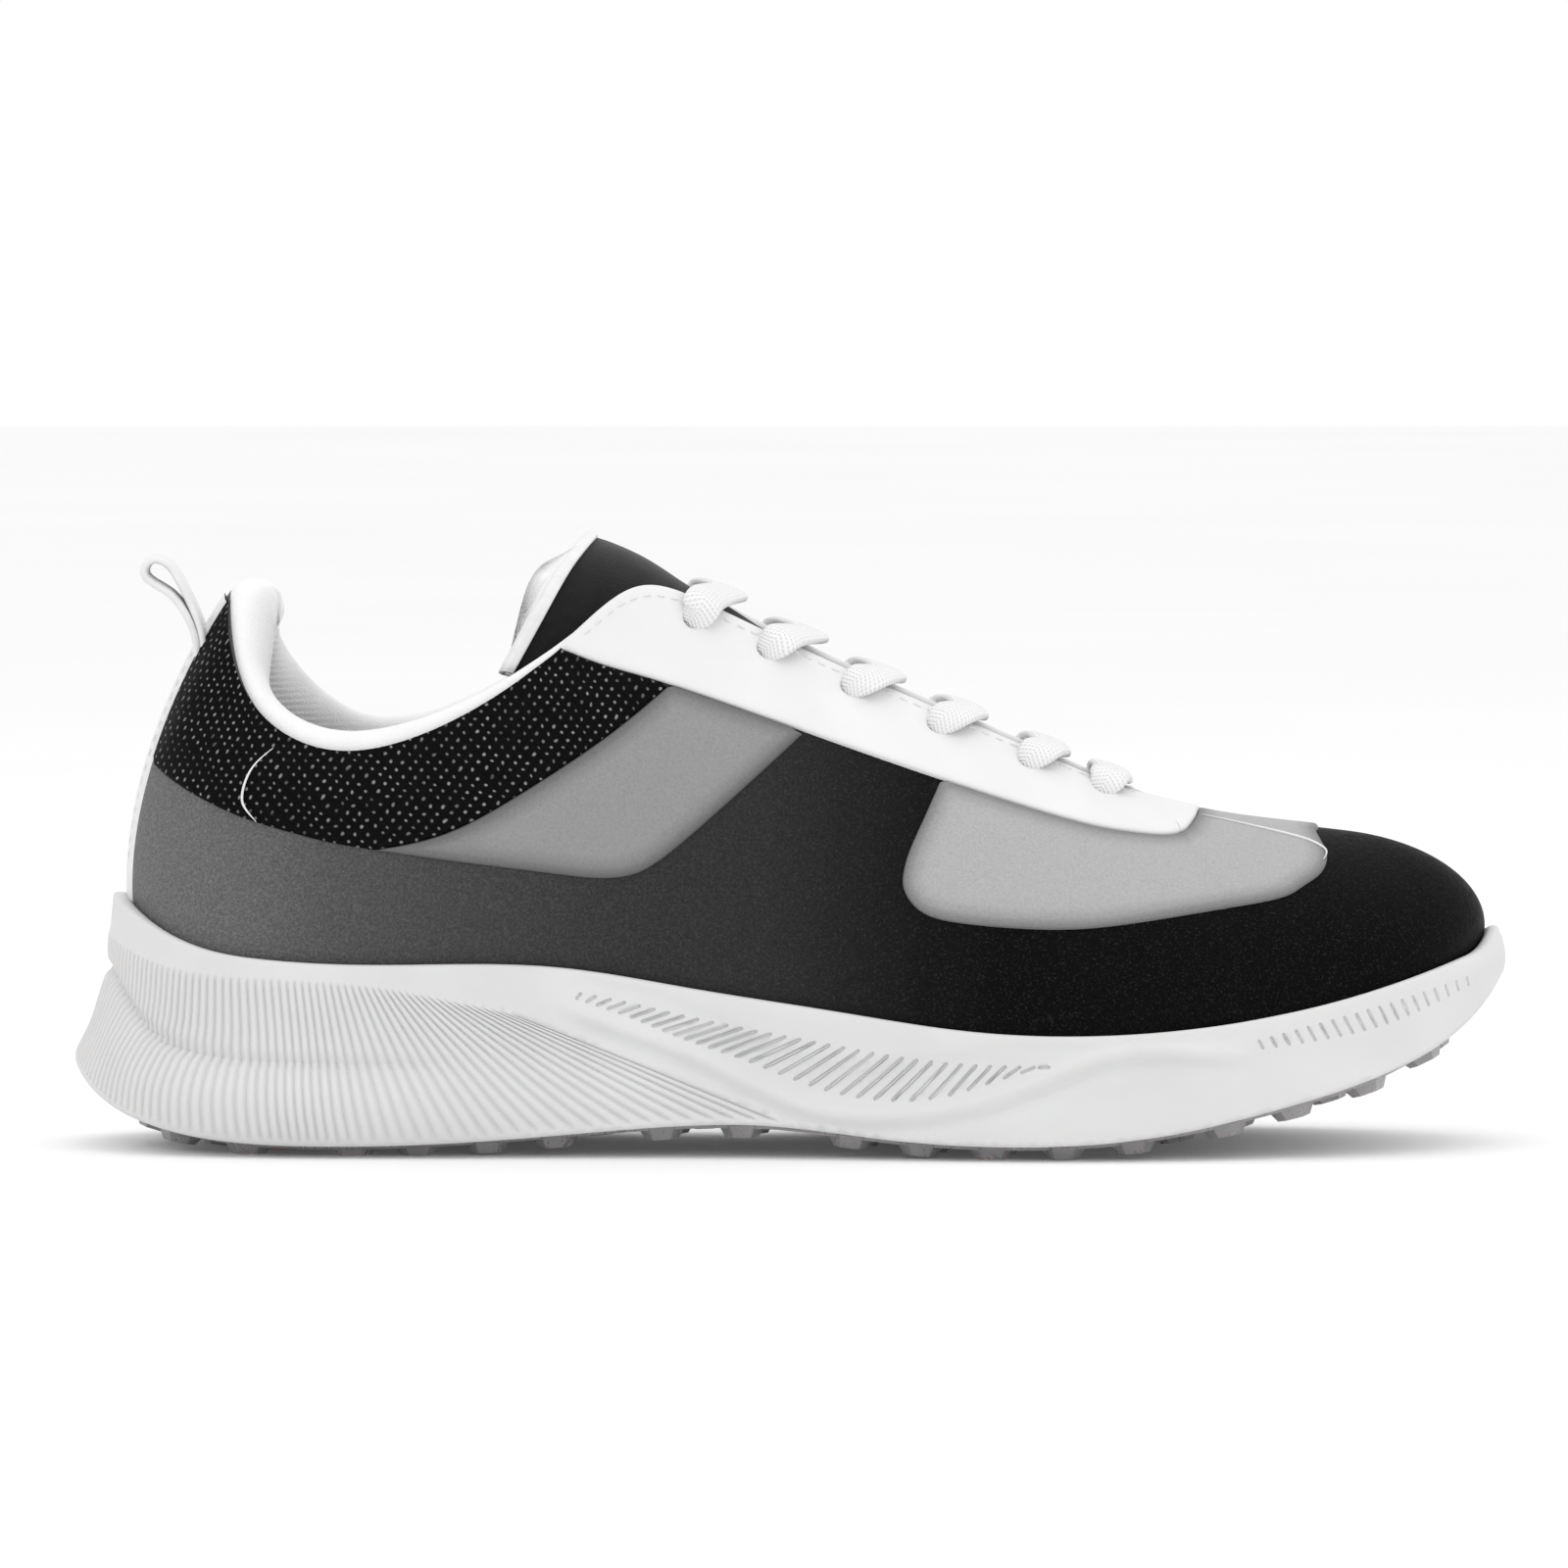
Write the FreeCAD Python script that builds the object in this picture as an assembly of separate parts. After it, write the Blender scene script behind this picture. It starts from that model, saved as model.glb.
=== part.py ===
import FreeCAD, Part
import math
import os

# A spikeless golf shoe for the right foot.  Millimetres; +X to the toe, +Y to the inner (medial)
# side, +Z up.  The ground is z = 0 and the origin lies under the middle of the shoe.

V = FreeCAD.Vector

# ---- driving dimensions --------------------------------------------------------------------
UPPER_THICK = 1.4           # the outer upper material
LAYER_GAP = 0.05            # air left between two sewn or glued layers
CUP_GAP = 0.25              # cement line between the upper and the midsole's cup
SEAM_GAP = 0.02             # each half of a layer stands this far from the middle
STIFFENER_THICK = 0.5       # heel counter, toe puff and eyelet backing
LINING_THICK = 0.5
OVERLAY_THICK = 0.8         # panels laid on the upper
FOAM_THICK = 4.6            # padding of the collar, at its fullest
COLLAR_ROLL_HEIGHT = 3.0    # how far the padded collar rises above the upper
STRIP_HALF_WIDTH = 5.5      # strip down the back of the heel
BOARD_THICK = 1.8
INSOLE_THICK = 4.0
OUTSOLE_THICK = 1.2
OUTSOLE_INSET = 1.5         # outsole edge to the edge of the foot shape
OUTSOLE_FLARE = 0.6         # share of the heel's flare that the outsole follows
STUD_DROP = 3.3             # a stud's length under the midsole
STUD_RADIUS = 4.6
STUD_RINGS = [(5, 11.5), (17.5, 12.5), (29.5, 13)]    # distance in from the edge, and spacing
STUD_TOP_GROWTH = 1.1          # a stud's root against its radius
STUD_FOOT_SHARE = 0.74         # a stud's foot against its radius
TONGUE_FACE_THICK = 0.9
TONGUE_FOAM_THICK = 4.4
TONGUE_LINING_THICK = 0.6
BINDING_THICK = 0.7
EYELET_RADIUS = 3.0
LACE_WIDTH = 8.0
LACE_THICK = 1.4
LACE_NECK_WIDTH = 4.2       # the lace gathers where it passes its eyelet
LACE_NECK_THICK = 1.8
LACE_LEAD = 0.26            # stations by which a run leads forward from its eyelets
TAB_HALF_WIDTH = 7.0

THROAT_END = 11             # station where the throat closes
TOE = 14                    # station at the tip of the toe
NEAR_RIDGE = 0.96           # share of a rib at which the ridge's slope is read

# The outer face of the upper is a row of ribs.  Station 0 is the middle of the heel, 14 the toe.
# Each rib: base x, y, z; top x, y, z; then two curve handles (out, up) and (out, down).
LATERAL = [
    (0, -131, 0, 31, -116, 0, 116, 14.5, 22, 17, 24),
    (1, -126, -16, 31, -115.3, -11, 106.5, 13, 20, 12, 22),
    (2, -112, -26.5, 31, -109, -21.5, 91, 10.5, 16, 8, 18),
    (3, -90, -30.5, 31, -91, -28.5, 83.2, 10, 15, 6, 16),
    (4, -62, -31, 30.3, -67, -31, 90.5, 10, 16, 6, 18),
    (5, -36, -32, 28, -47, -29, 104.5, 9.5, 18, 7.5, 22),
    (6, -18, -34.5, 25.4, -32, -22.5, 116.2, 9.5, 20, 10, 20),
    (7, 0, -37.5, 22.4, -16, -16.5, 112.5, 9.5, 20, 14, 16),
    (8, 27, -42.5, 18.5, 10, -13, 100, 10, 20, 18, 12),
    (9, 57, -46, 16.5, 42, -11, 86, 10.5, 19, 20, 9.5),
    (10, 84, -43.5, 18, 66, -8.5, 75.6, 10, 18, 21, 6.5),
    (11, 98, -39.2, 20.5, 75, 0, 72.4, 10, 17, 24, 2),
    (12, 114, -34.5, 24, 88, 0.8, 69.3, 10, 16, 24, 1.5),
    (13, 130, -22, 29, 101, 2, 67.3, 10, 15, 25, 1.5),
    (14, 139, 5, 33.5, 113, 3.6, 65.8, 12, 13, 28, 1.5),
]
MEDIAL = [
    (1, -126, 16, 31, -114.5, 11, 108, 13, 20, 12, 22),
    (2, -112, 26, 31, -106, 21.5, 94, 10.5, 16, 8, 18),
    (3, -90, 28.5, 31, -89, 28.5, 85, 10, 15, 6, 16),
    (4, -62, 26, 30.3, -66, 31, 91.5, 11, 16, 7, 18),
    (5, -36, 22, 28, -47, 28.5, 105, 13, 20, 9, 22),
    (6, -18, 21.5, 25.4, -32, 22.5, 116.4, 14, 22, 12, 20),
    (7, 0, 24, 22.4, -16, 17, 112.7, 13, 21, 15, 16),
    (8, 27, 34, 18.5, 10, 13.5, 100.2, 10.5, 20, 19, 12),
    (9, 57, 43.5, 16.5, 42, 11.5, 86.2, 10, 19, 20, 9.5),
    (10, 84, 44.5, 18, 66, 8.5, 75.8, 9.5, 18, 21, 6.5),
    (11, 99, 42, 20.5, 75, 0, 72.4, 10, 17, 24, 2),
    (12, 115, 37.5, 24, 88, 0.8, 69.3, 10, 16, 24, 1.5),
    (13, 131, 26.5, 29, 101, 2, 67.3, 10, 15, 25, 1.5),
]

# Side profiles, as (x, z): top of the midsole's rim, underside of the midsole, top of the board.
RIM_LINE = [(-152, 60), (-141, 56), (-137, 52), (-132, 48), (-122, 43), (-108, 40.4), (-85, 39.4),
            (-48, 39), (-20, 34.8), (12, 30), (36, 26.6), (60, 25.5), (85, 27), (110, 31.2),
            (130, 37.5), (142, 42), (150, 46.5)]
UNDERSIDE = [(-153, 26), (-149, 18.4), (-143.3, 12), (-135, 7.5), (-118, 3.6), (-96, 2.5),
             (-70, 3.2), (-29, 6.4), (-4, 7), (20, 4.5), (48, 3.2), (77, 5.3), (93, 8.4),
             (110, 12.7), (126, 18.1), (142, 27), (148, 33), (153, 40)]
BOARD_LINE = [(-150, 31), (-112, 31), (-90, 31), (-62, 30.3), (-36, 28), (-18, 25.4), (0, 22.4),
              (27, 18.5), (57, 16.5), (84, 18), (98, 20.5), (113, 24), (128, 28.5), (150, 38)]

# Width of the midsole's rim outside the upper, and how far the wall flares beyond it, by station.
RIM_LIP = [(0, 3.6), (1, 3.2), (3, 2.6), (11, 2.6), (12, 2.8), (13, 3.8), (14, 5.4)]
HEEL_FLARE = [(0, 9), (1, 8), (2, 6.5), (3, 5.5), (4, 5), (5, 4), (6, 2.5), (7, 1.2), (8, 0.8),
              (9, 0.8), (11, 0.8), (14, 1.2)]

# Shape of that wall from the rim down: share of its height, share of the lip, share of the flare.
WALL_SHAPE = [(0, 0.9, 0), (0.06, 1, 0), (0.2, 1, 0.05), (0.42, 0.9, 0.3), (0.6, 1, 0.85),
              (0.72, 1, 1), (0.84, 0.8, 0.8), (1, -0.4, 0)]

# Side outlines of the overlays, as runs of (x, z) that share their end points.
EYESTAY_EDGE = [(-46.6, 104.8), (-37, 101.2), (-21, 96.3), (12, 84.5), (44, 73.6), (62, 68.2),
                (74, 66), (82, 66.8), (86.2, 70)]
COLLAR_EDGE = [(-134, 81.5), (-127, 76.5), (-119, 72.4), (-111, 69.3), (-102, 66.8), (-94, 64.9),
               (-85, 63.5)]
COLLAR_SLOPE = [(-85, 63.5), (-70, 67.1), (-54, 75.7), (-37, 87), (-23, 98.4)]
MIDFOOT_EDGE = [(-85, 63.5), (-70, 61.4), (-53, 59.3), (-40, 57.8), (-33, 58.2), (-26, 61.5),
                (-13, 72.4), (0, 84), (6, 89.5)]
VAMP_EDGE = [(33, 80), (28, 70.2), (25, 63.2), (24.2, 57.5), (26.5, 52.6), (31, 49.9), (52, 47.8),
             (77, 48.4), (93, 51), (102, 53.4), (109, 56.8), (112.3, 61.5), (110.5, 68)]

# The six eyelets of each row, as (station, height up the rib).
EYELETS = [(6.8, 0.93), (7.5, 0.935), (8.1, 0.93), (8.65, 0.92), (9.25, 0.92), (9.9, 0.93)]

# The tongue's outer face, front to back, as half sections: middle, shoulder, flank and edge.
TONGUE = [
    [(77, 0, 67.4), (78, 6, 66.2), (79.5, 11, 64), (81, 15, 61.4)],
    [(64.5, 0, 73), (65, 8, 70.7), (66, 14.5, 68), (67.5, 18.5, 65.2)],
    [(41, 0, 85), (40.8, 10, 81.6), (41, 16.5, 77.4), (42.3, 21.4, 72.6)],
    [(9, 0, 101.2), (8.3, 11, 96.4), (8.2, 17, 90.6), (9.3, 21, 84.8)],
    [(-11, 0, 111.8), (-13.2, 12.6, 107), (-14, 18, 101), (-13.5, 21.5, 94)],
    [(-20, 0, 116.6), (-23.3, 12.6, 111.8), (-26, 18.5, 104), (-28.4, 21.6, 94.4)],
    [(-20.6, 0, 116.97), (-23.9, 12.6, 112.1), (-26.7, 18.5, 104.2), (-29.4, 21.6, 94.5)],
    [(-26, 0, 120.5), (-29.8, 12.8, 115.2), (-34.6, 19, 106.2), (-40.4, 22, 95.8)],
    [(-36.5, 0, 127), (-40.4, 13, 122), (-46.6, 19.5, 112), (-54.6, 22.4, 99.4)],
]
TIP_START = 6               # row of TONGUE where the free tip begins
ROOT_END = 5                # row where the held part ends


# ---- curves through hand-chosen rows --------------------------------------------------------
class Track:
    """A smooth curve through rows of numbers; the first number of a row is its position."""

    def __init__(self, rows):
        self.where = [row[0] for row in rows]
        self.rows = [list(row[1:]) for row in rows]
        self.bend = [self._bends(column) for column in zip(*self.rows)]

    def _bends(self, values):
        """Second derivatives of the natural cubic spline through one column."""
        count = len(values)
        step = [self.where[i + 1] - self.where[i] for i in range(count - 1)]
        slope = [(values[i + 1] - values[i]) / step[i] for i in range(count - 1)]
        main = [1.0] * count
        right = [0.0] * count
        for i in range(1, count - 1):
            main[i] = 2 * (step[i - 1] + step[i])
            right[i] = 6 * (slope[i] - slope[i - 1])
            if i > 1:
                weight = step[i - 1] / main[i - 1]
                main[i] -= weight * step[i - 1]
                right[i] -= weight * right[i - 1]
        bends = [0.0] * count
        for i in range(count - 2, 0, -1):
            bends[i] = (right[i] - step[i] * bends[i + 1]) / main[i]
        return bends

    def at(self, position):
        low = 0
        high = len(self.where) - 1
        while high - low > 1:
            middle = (low + high) // 2
            if self.where[middle] <= position:
                low = middle
            else:
                high = middle
        span = self.where[high] - self.where[low]
        a = (self.where[high] - position) / span
        b = 1 - a
        first = (a ** 3 - a) * span * span / 6
        second = (b ** 3 - b) * span * span / 6
        pairs = zip(self.rows[low], self.rows[high], self.bend)
        return [a * p + b * q + first * bend[low] + second * bend[high] for p, q, bend in pairs]


def closed_track(columns):
    """A track round the whole foot: stations -14 to 14, and some repeated past each end."""
    medial = [(-row[0],) + tuple(row[c] for c in columns) for row in reversed(MEDIAL)]
    lateral = [(row[0],) + tuple(row[c] for c in columns) for row in LATERAL]
    rows = medial + lateral
    before = [(row[0] - 2 * TOE,) + row[1:] for row in rows[-5:]]
    after = [(row[0] + 2 * TOE,) + row[1:] for row in rows[:5]]
    return Track(before + rows + after)


def rear_top_track():
    medial = [(-row[0],) + row[4:7] for row in reversed(MEDIAL) if row[0] <= THROAT_END]
    lateral = [(row[0],) + row[4:7] for row in LATERAL if row[0] <= THROAT_END]
    return Track(medial + lateral)


def ridge_track():
    """Tops of the ribs in front of the throat, which meet on one line over the toes."""
    rows = [(row[0],) + row[4:7] for row in LATERAL if row[0] >= THROAT_END]
    mirrored = [(2 * TOE - row[0],) + row[1:] for row in reversed(rows[:-1])]
    return Track(rows + mirrored)


BASE = closed_track((1, 2, 3))
HANDLES = closed_track((7, 8, 9, 10))
REAR_TOP = rear_top_track()
RIDGE = ridge_track()
RIM = Track(RIM_LINE)
FLARE = Track(HEEL_FLARE)
LIP = Track(RIM_LIP)


# ---- the outer face of the upper ------------------------------------------------------------
def outward(u):
    """Plan direction that points away from the foot at station u."""
    ahead = BASE.at(u + 0.05)
    behind = BASE.at(u - 0.05)
    dx = ahead[0] - behind[0]
    dy = ahead[1] - behind[1]
    length = math.hypot(dx, dy)
    return V(dy / length, -dx / length, 0)


def rib_point(u, v):
    """Point of the upper's outer face at station u, from the board (v = 0) to the top (v = 1)."""
    base = V(*BASE.at(u))
    top = V(*(REAR_TOP.at(u) if abs(u) <= THROAT_END else RIDGE.at(abs(u))))
    out_low, up_low, out_high, down_high = HANDLES.at(u)
    away = outward(u)
    second = base + away * out_low + V(0, 0, up_low)
    third = top + away * out_high - V(0, 0, down_high)
    w = 1 - v
    return base * w ** 3 + second * (3 * v * w * w) + third * (3 * v * v * w) + top * v ** 3


def side_normal(u, v):
    e = 0.02
    ahead = u + e
    behind = u - e
    if abs(u) <= THROAT_END:
        ahead = min(ahead, THROAT_END)
        behind = max(behind, -THROAT_END)
    elif u > 0:
        behind = max(behind, THROAT_END)
    else:
        ahead = min(ahead, -THROAT_END)
    along = rib_point(ahead, v) - rib_point(behind, v)
    up = rib_point(u, min(v + e, 1)) - rib_point(u, max(v - e, 0))
    return along.cross(up).normalize()


def normal(u, v):
    """Outward normal; on the ridge over the toes both sides share one normal."""
    if v >= 1 and abs(u) >= THROAT_END:
        across = 2 * TOE - u if u > TOE else -u
        return (side_normal(u, NEAR_RIDGE) + side_normal(across, NEAR_RIDGE)).normalize()
    return side_normal(u, v)


def layer_point(u, v, depth):
    """Point at a depth under the upper's outer face (negative lies outside it)."""
    return rib_point(u, v) - normal(u, v) * depth


def rise(u, v):
    return (rib_point(u, v) - rib_point(u, v - 0.02)).normalize()


def rim_height(u):
    """Share v of a rib at which it leaves the midsole's rim."""
    low = 0.0
    high = 0.6
    for _ in range(30):
        middle = (low + high) / 2
        point = rib_point(u, middle)
        if point.z < RIM.at(point.x)[0]:
            low = middle
        else:
            high = middle
    return low


def steps(start, end, count):
    return [start + (end - start) * i / count for i in range(count + 1)]


# ---- surfaces and solids --------------------------------------------------------------------
def spline_curve(points):
    curve = Part.BSplineCurve()
    curve.interpolate(Points=list(points), Parameters=[float(i) for i in range(len(points))])
    return curve


def surface(grid):
    """Smooth face through a grid of points; equal edges of two grids give equal curves."""
    rows = [spline_curve(row) for row in grid]
    columns = [spline_curve(column) for column in zip(*[row.getPoles() for row in rows])]
    poles = [list(row) for row in zip(*[column.getPoles() for column in columns])]
    across = columns[0]
    along = rows[0]
    face = Part.BSplineSurface()
    face.buildFromPolesMultsKnots(
        poles, across.getMultiplicities(), along.getMultiplicities(), across.getKnots(),
        along.getKnots(), False, False, across.Degree, along.Degree)
    return face.toShape()


def sewn_solid(faces):
    sheet = Part.makeCompound(faces)
    sheet.sewShape(0.005)
    solid = Part.makeSolid(sheet.Shells[0])
    if solid.Volume < 0:
        solid.reverse()
    return solid


def slab_between(first, second):
    """Solid between two grids of the same shape, closed round its four sides."""
    faces = [surface(first), surface(second)]
    faces.append(surface([first[0], second[0]]))
    faces.append(surface([first[-1], second[-1]]))
    faces.append(surface([[row[0] for row in first], [row[0] for row in second]]))
    faces.append(surface([[row[-1] for row in first], [row[-1] for row in second]]))
    return sewn_solid(faces)


def run(points):
    """Edge through (x, z) points in the plane y = 0."""
    path = [V(x, 0, z) for x, z in points]
    if len(path) == 2:
        return Part.LineSegment(path[0], path[1]).toShape()
    curve = Part.BSplineCurve()
    curve.interpolate(Points=path)
    return curve.toShape()


def side_prism(runs, y_from, y_to):
    """Prism across the shoe whose side outline is made of runs of points."""
    face = Part.Face(Part.Wire([run(points) for points in runs]))
    face.translate(V(0, y_from, 0))
    return face.extrude(V(0, y_to - y_from, 0))


def plan_prism(points, z_from, z_to):
    """Upright prism on a closed smooth outline of (x, y) points."""
    curve = Part.BSplineCurve()
    curve.interpolate(Points=[V(x, y, z_from) for x, y in points], PeriodicFlag=True)
    return Part.Face(Part.Wire([curve.toShape()])).extrude(V(0, 0, z_to - z_from))


def foot_outline(inset, flare_share=0.0):
    """Plan outline of the board's edge, moved inward by an inset and out by part of the flare."""
    outline = []
    for u in steps(-TOE, TOE, 4 * TOE)[:-1]:
        base = V(*BASE.at(u)) - outward(u) * (inset - FLARE.at(abs(u))[0] * flare_share)
        outline.append((base.x, base.y))
    return outline


def profile_slab(line, lower, upper):
    """Slab whose two faces follow a side profile at two heights from it."""
    bottom = [(x, z + lower) for x, z in line]
    top = [(x, z + upper) for x, z in line]
    runs = [bottom, [bottom[-1], top[-1]], top[::-1], [top[0], bottom[0]]]
    return side_prism(runs, -80, 80)


# ---- upper ----------------------------------------------------------------------------------
UP_RIB = [0, 0.08, 0.17, 0.27, 0.38, 0.5, 0.6, 0.7, 0.79, 0.87, 0.94, 1]


def bootee_half(side, outer, inner, start, low):
    """One side of a layer, from a start station near the heel to the tip of the toe."""
    heights = [low + (1 - low) * v for v in UP_RIB]
    rear = [side * u for u in steps(start, THROAT_END, int(2 * (THROAT_END - start)))]
    front = [side * u for u in steps(THROAT_END, TOE, 8)]
    faces = []
    for stations in (rear, front):
        first = [[layer_point(u, v, outer) for v in heights] for u in stations]
        second = [[layer_point(u, v, inner) for v in heights] for u in stations]
        faces += [surface(first), surface(second)]
        faces.append(surface([[row[0] for row in first], [row[0] for row in second]]))
        faces.append(surface([[row[-1] for row in first], [row[-1] for row in second]]))
        end = 0 if stations is rear else -1
        faces.append(surface([first[end], second[end]]))
    half = sewn_solid(faces)
    half.translate(V(0, -SEAM_GAP * side, 0))
    return half


def both_sides(outer, inner, low, tool):
    """A layer of the whole upper, kept only where it lies inside a tool."""
    halves = []
    for side in (1, -1):
        half = bootee_half(side, outer, inner, 0, low)
        half.translate(V(0, SEAM_GAP * side, 0))
        halves.append(half.common(tool))
    return halves[0].fuse(halves[1])


def uv_layer(stations, heights, outer, inner):
    first = [[layer_point(u, v, outer) for v in heights] for u in stations]
    second = [[layer_point(u, v, inner) for v in heights] for u in stations]
    return slab_between(first, second)


def eyelet_drills():
    """Pins through every layer at the twelve eyelets."""
    pins = []
    for side in (1, -1):
        for u, v in EYELETS:
            axis = normal(side * u, v)
            start = rib_point(side * u, v) - axis * 6
            pins.append(Part.makeCylinder(EYELET_RADIUS, 12, start, axis))
    return pins


def eyestay_prism():
    x0, z0 = EYESTAY_EDGE[0]
    x1, z1 = EYESTAY_EDGE[-1]
    runs = [EYESTAY_EDGE, [(x1, z1), (x1, 140)], [(x1, 140), (x0, 140)], [(x0, 140), (x0, z0)]]
    return side_prism(runs, -60, 60)


def collar_prism(side):
    start = COLLAR_EDGE[0]
    end = COLLAR_SLOPE[-1]
    runs = [COLLAR_EDGE, COLLAR_SLOPE, [end, (end[0], 125)], [(end[0], 125), (-150, 125)],
            [(-150, 125), (-150, start[1])], [(-150, start[1]), start]]
    return side_prism(runs, 0, 60 * side)


def midfoot_prism(side):
    start = COLLAR_SLOPE[-1]
    end = MIDFOOT_EDGE[-1]
    runs = [COLLAR_SLOPE, [start, end], MIDFOOT_EDGE[::-1]]
    return side_prism(runs, 0, 60 * side)


def vamp_prism():
    start = VAMP_EDGE[0]
    end = VAMP_EDGE[-1]
    runs = [VAMP_EDGE, [end, (end[0], 90)], [(end[0], 90), (start[0], 90)],
            [(start[0], 90), start]]
    return side_prism(runs, -60, 60)


def heel_box(margin):
    half = STRIP_HALF_WIDTH + margin
    return Part.makeBox(60, 2 * half, 110, V(-165, -half, 30))


# ---- padded collar --------------------------------------------------------------------------
ROLL_ANGLES = (0, 20, 40, 60, 80, 100, 120, 140, 160, 180)
LINING_HEIGHTS = (0.93, 0.88, 0.83, 0.78, 0.73, 0.68, 0.63, 0.58, 0.53, 0.48, 0.42, 0.34, 0.26, 0.18,
                  0.1, 0.05)
FOAM_CLEARANCE = 0.4


def collar_fullness(u):
    """1 round the heel, falling away where the collar meets the eyestay."""
    share = min(max((abs(u) - 3.2) / 2.0, 0), 1)
    return 1 - 0.55 * share * share * (3 - 2 * share)


def collar_section(u, inset):
    """Lining path over the collar's roll and down inside the heel, moved in by an inset."""
    full = collar_fullness(u)
    deep = 2 * UPPER_THICK + FOAM_THICK * full
    top = rib_point(u, 1)
    away = normal(u, 1)
    up = rise(u, 1)
    half = deep / 2 - inset
    height = COLLAR_ROLL_HEIGHT * full - inset
    path = []
    for degrees in ROLL_ANGLES:
        angle = math.radians(degrees)
        centre = top - away * (deep / 2) + up * 0.1
        path.append(centre + away * (half * math.cos(angle)) + up * (height * math.sin(angle)))
    for v in LINING_HEIGHTS:
        path.append(layer_point(u, v, lining_depth(u, v) - inset))
    return path


def lining_depth(u, v):
    """Depth of the lining's inner face: full over the foam, thin below it."""
    thin = UPPER_THICK + STIFFENER_THICK + LINING_THICK + 3 * LAYER_GAP
    deep = 2 * UPPER_THICK + FOAM_THICK * collar_fullness(u)
    share = min(max((v - 0.45) / 0.45, 0), 1)
    return thin + (deep - thin) * share * share * (3 - 2 * share)


def make_collar_lining():
    stations = steps(-5.2, 5.2, 26)
    inner = [collar_section(u, 0) for u in stations]
    outer = [collar_section(u, LINING_THICK) for u in stations]
    return slab_between(inner, outer)


def make_collar_foam():
    """Foam between the lining and the upper; it ends where the two meet."""
    stations = steps(-5.1, 5.1, 26)
    inset = LINING_THICK + FOAM_CLEARANCE
    back = UPPER_THICK + STIFFENER_THICK + 2 * LAYER_GAP
    first = []
    second = []
    for u in stations:
        path = collar_section(u, inset)[4:19]
        first.append(path)
        top = path[0] + (rib_point(u, 1) - layer_point(u, 1, -1)) * 0.6
        second.append([top] + [layer_point(u, v, back) for v in steps(0.96, 0.54, 13)])
    return slab_between(first, second)


# ---- tongue ---------------------------------------------------------------------------------
def tongue_rows(first, last, count):
    """Full sections of the tongue's outer face, evenly spaced between two rows of TONGUE."""
    track = Track([(i,) + tuple(c for point in row for c in point)
                   for i, row in enumerate(TONGUE)])
    rows = []
    for where in steps(first, last, count):
        numbers = track.at(where)
        half = [V(*numbers[3 * i:3 * i + 3]) for i in range(4)]
        left = [V(p.x, -p.y, p.z) for p in half[:0:-1]]
        section = Part.BSplineCurve()
        section.interpolate(Points=left + half)
        rows.append([section.value(share)
                     for share in steps(section.FirstParameter, section.LastParameter, 16)])
    return rows


def sunk(rows, depth):
    """The same grid moved inward along its own normals."""
    moved = []
    last_row = len(rows) - 1
    last_column = len(rows[0]) - 1
    for i, row in enumerate(rows):
        moved.append([])
        for j, point in enumerate(row):
            along = rows[min(i + 1, last_row)][j] - rows[max(i - 1, 0)][j]
            across = row[min(j + 1, last_column)] - row[max(j - 1, 0)]
            inward = along.cross(across).normalize()
            moved[-1].append(point + inward * depth)
    return moved


def tongue_layer(first, last, count, outer, inner):
    rows = tongue_rows(first, last, count)
    return slab_between(sunk(rows, outer), sunk(rows, inner))


TONGUE_FOAM_TOP = TONGUE_FACE_THICK + LAYER_GAP
TONGUE_FOAM_BOTTOM = TONGUE_FOAM_TOP + TONGUE_FOAM_THICK
TONGUE_LINING_TOP = TONGUE_FOAM_BOTTOM + LAYER_GAP
TONGUE_LINING_BOTTOM = TONGUE_LINING_TOP + TONGUE_LINING_THICK


def make_tongue_binding():
    """Edging folded over the free end of the tongue."""
    end = len(TONGUE) - 1
    rows = tongue_rows(TIP_START, end, 12)
    last = rows[-1]
    before = rows[-2]
    top = sunk(rows, -LAYER_GAP)[-1]
    bottom = sunk(rows, TONGUE_LINING_BOTTOM + LAYER_GAP)[-1]
    inner = []
    outer = []
    for j in range(len(last)):
        back = (last[j] - before[j]).normalize()
        up = (top[j] - bottom[j]).normalize()
        ends = [top[j] - back * 3, top[j] - back * 0.2, bottom[j] - back * 0.2,
                bottom[j] - back * 3]
        gap = back * (0.2 + LAYER_GAP)
        inner.append([ends[0], ends[1] + gap, ends[2] + gap, ends[3]])
        grow = up * BINDING_THICK
        wide = gap + back * BINDING_THICK
        outer.append([ends[0] + grow, ends[1] + wide + grow, ends[2] + wide - grow,
                      ends[3] - grow])
    return inner, outer


def folded_strip(inner, outer):
    """Join the three flat legs of a folded strip into one solid."""
    legs = []
    for k in range(3):
        first = [[row[k], row[k + 1]] for row in inner]
        second = [[row[k], row[k + 1]] for row in outer]
        legs.append(slab_between(first, second))
    return legs[0].fuse(legs[1:]).removeSplitter()


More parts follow.
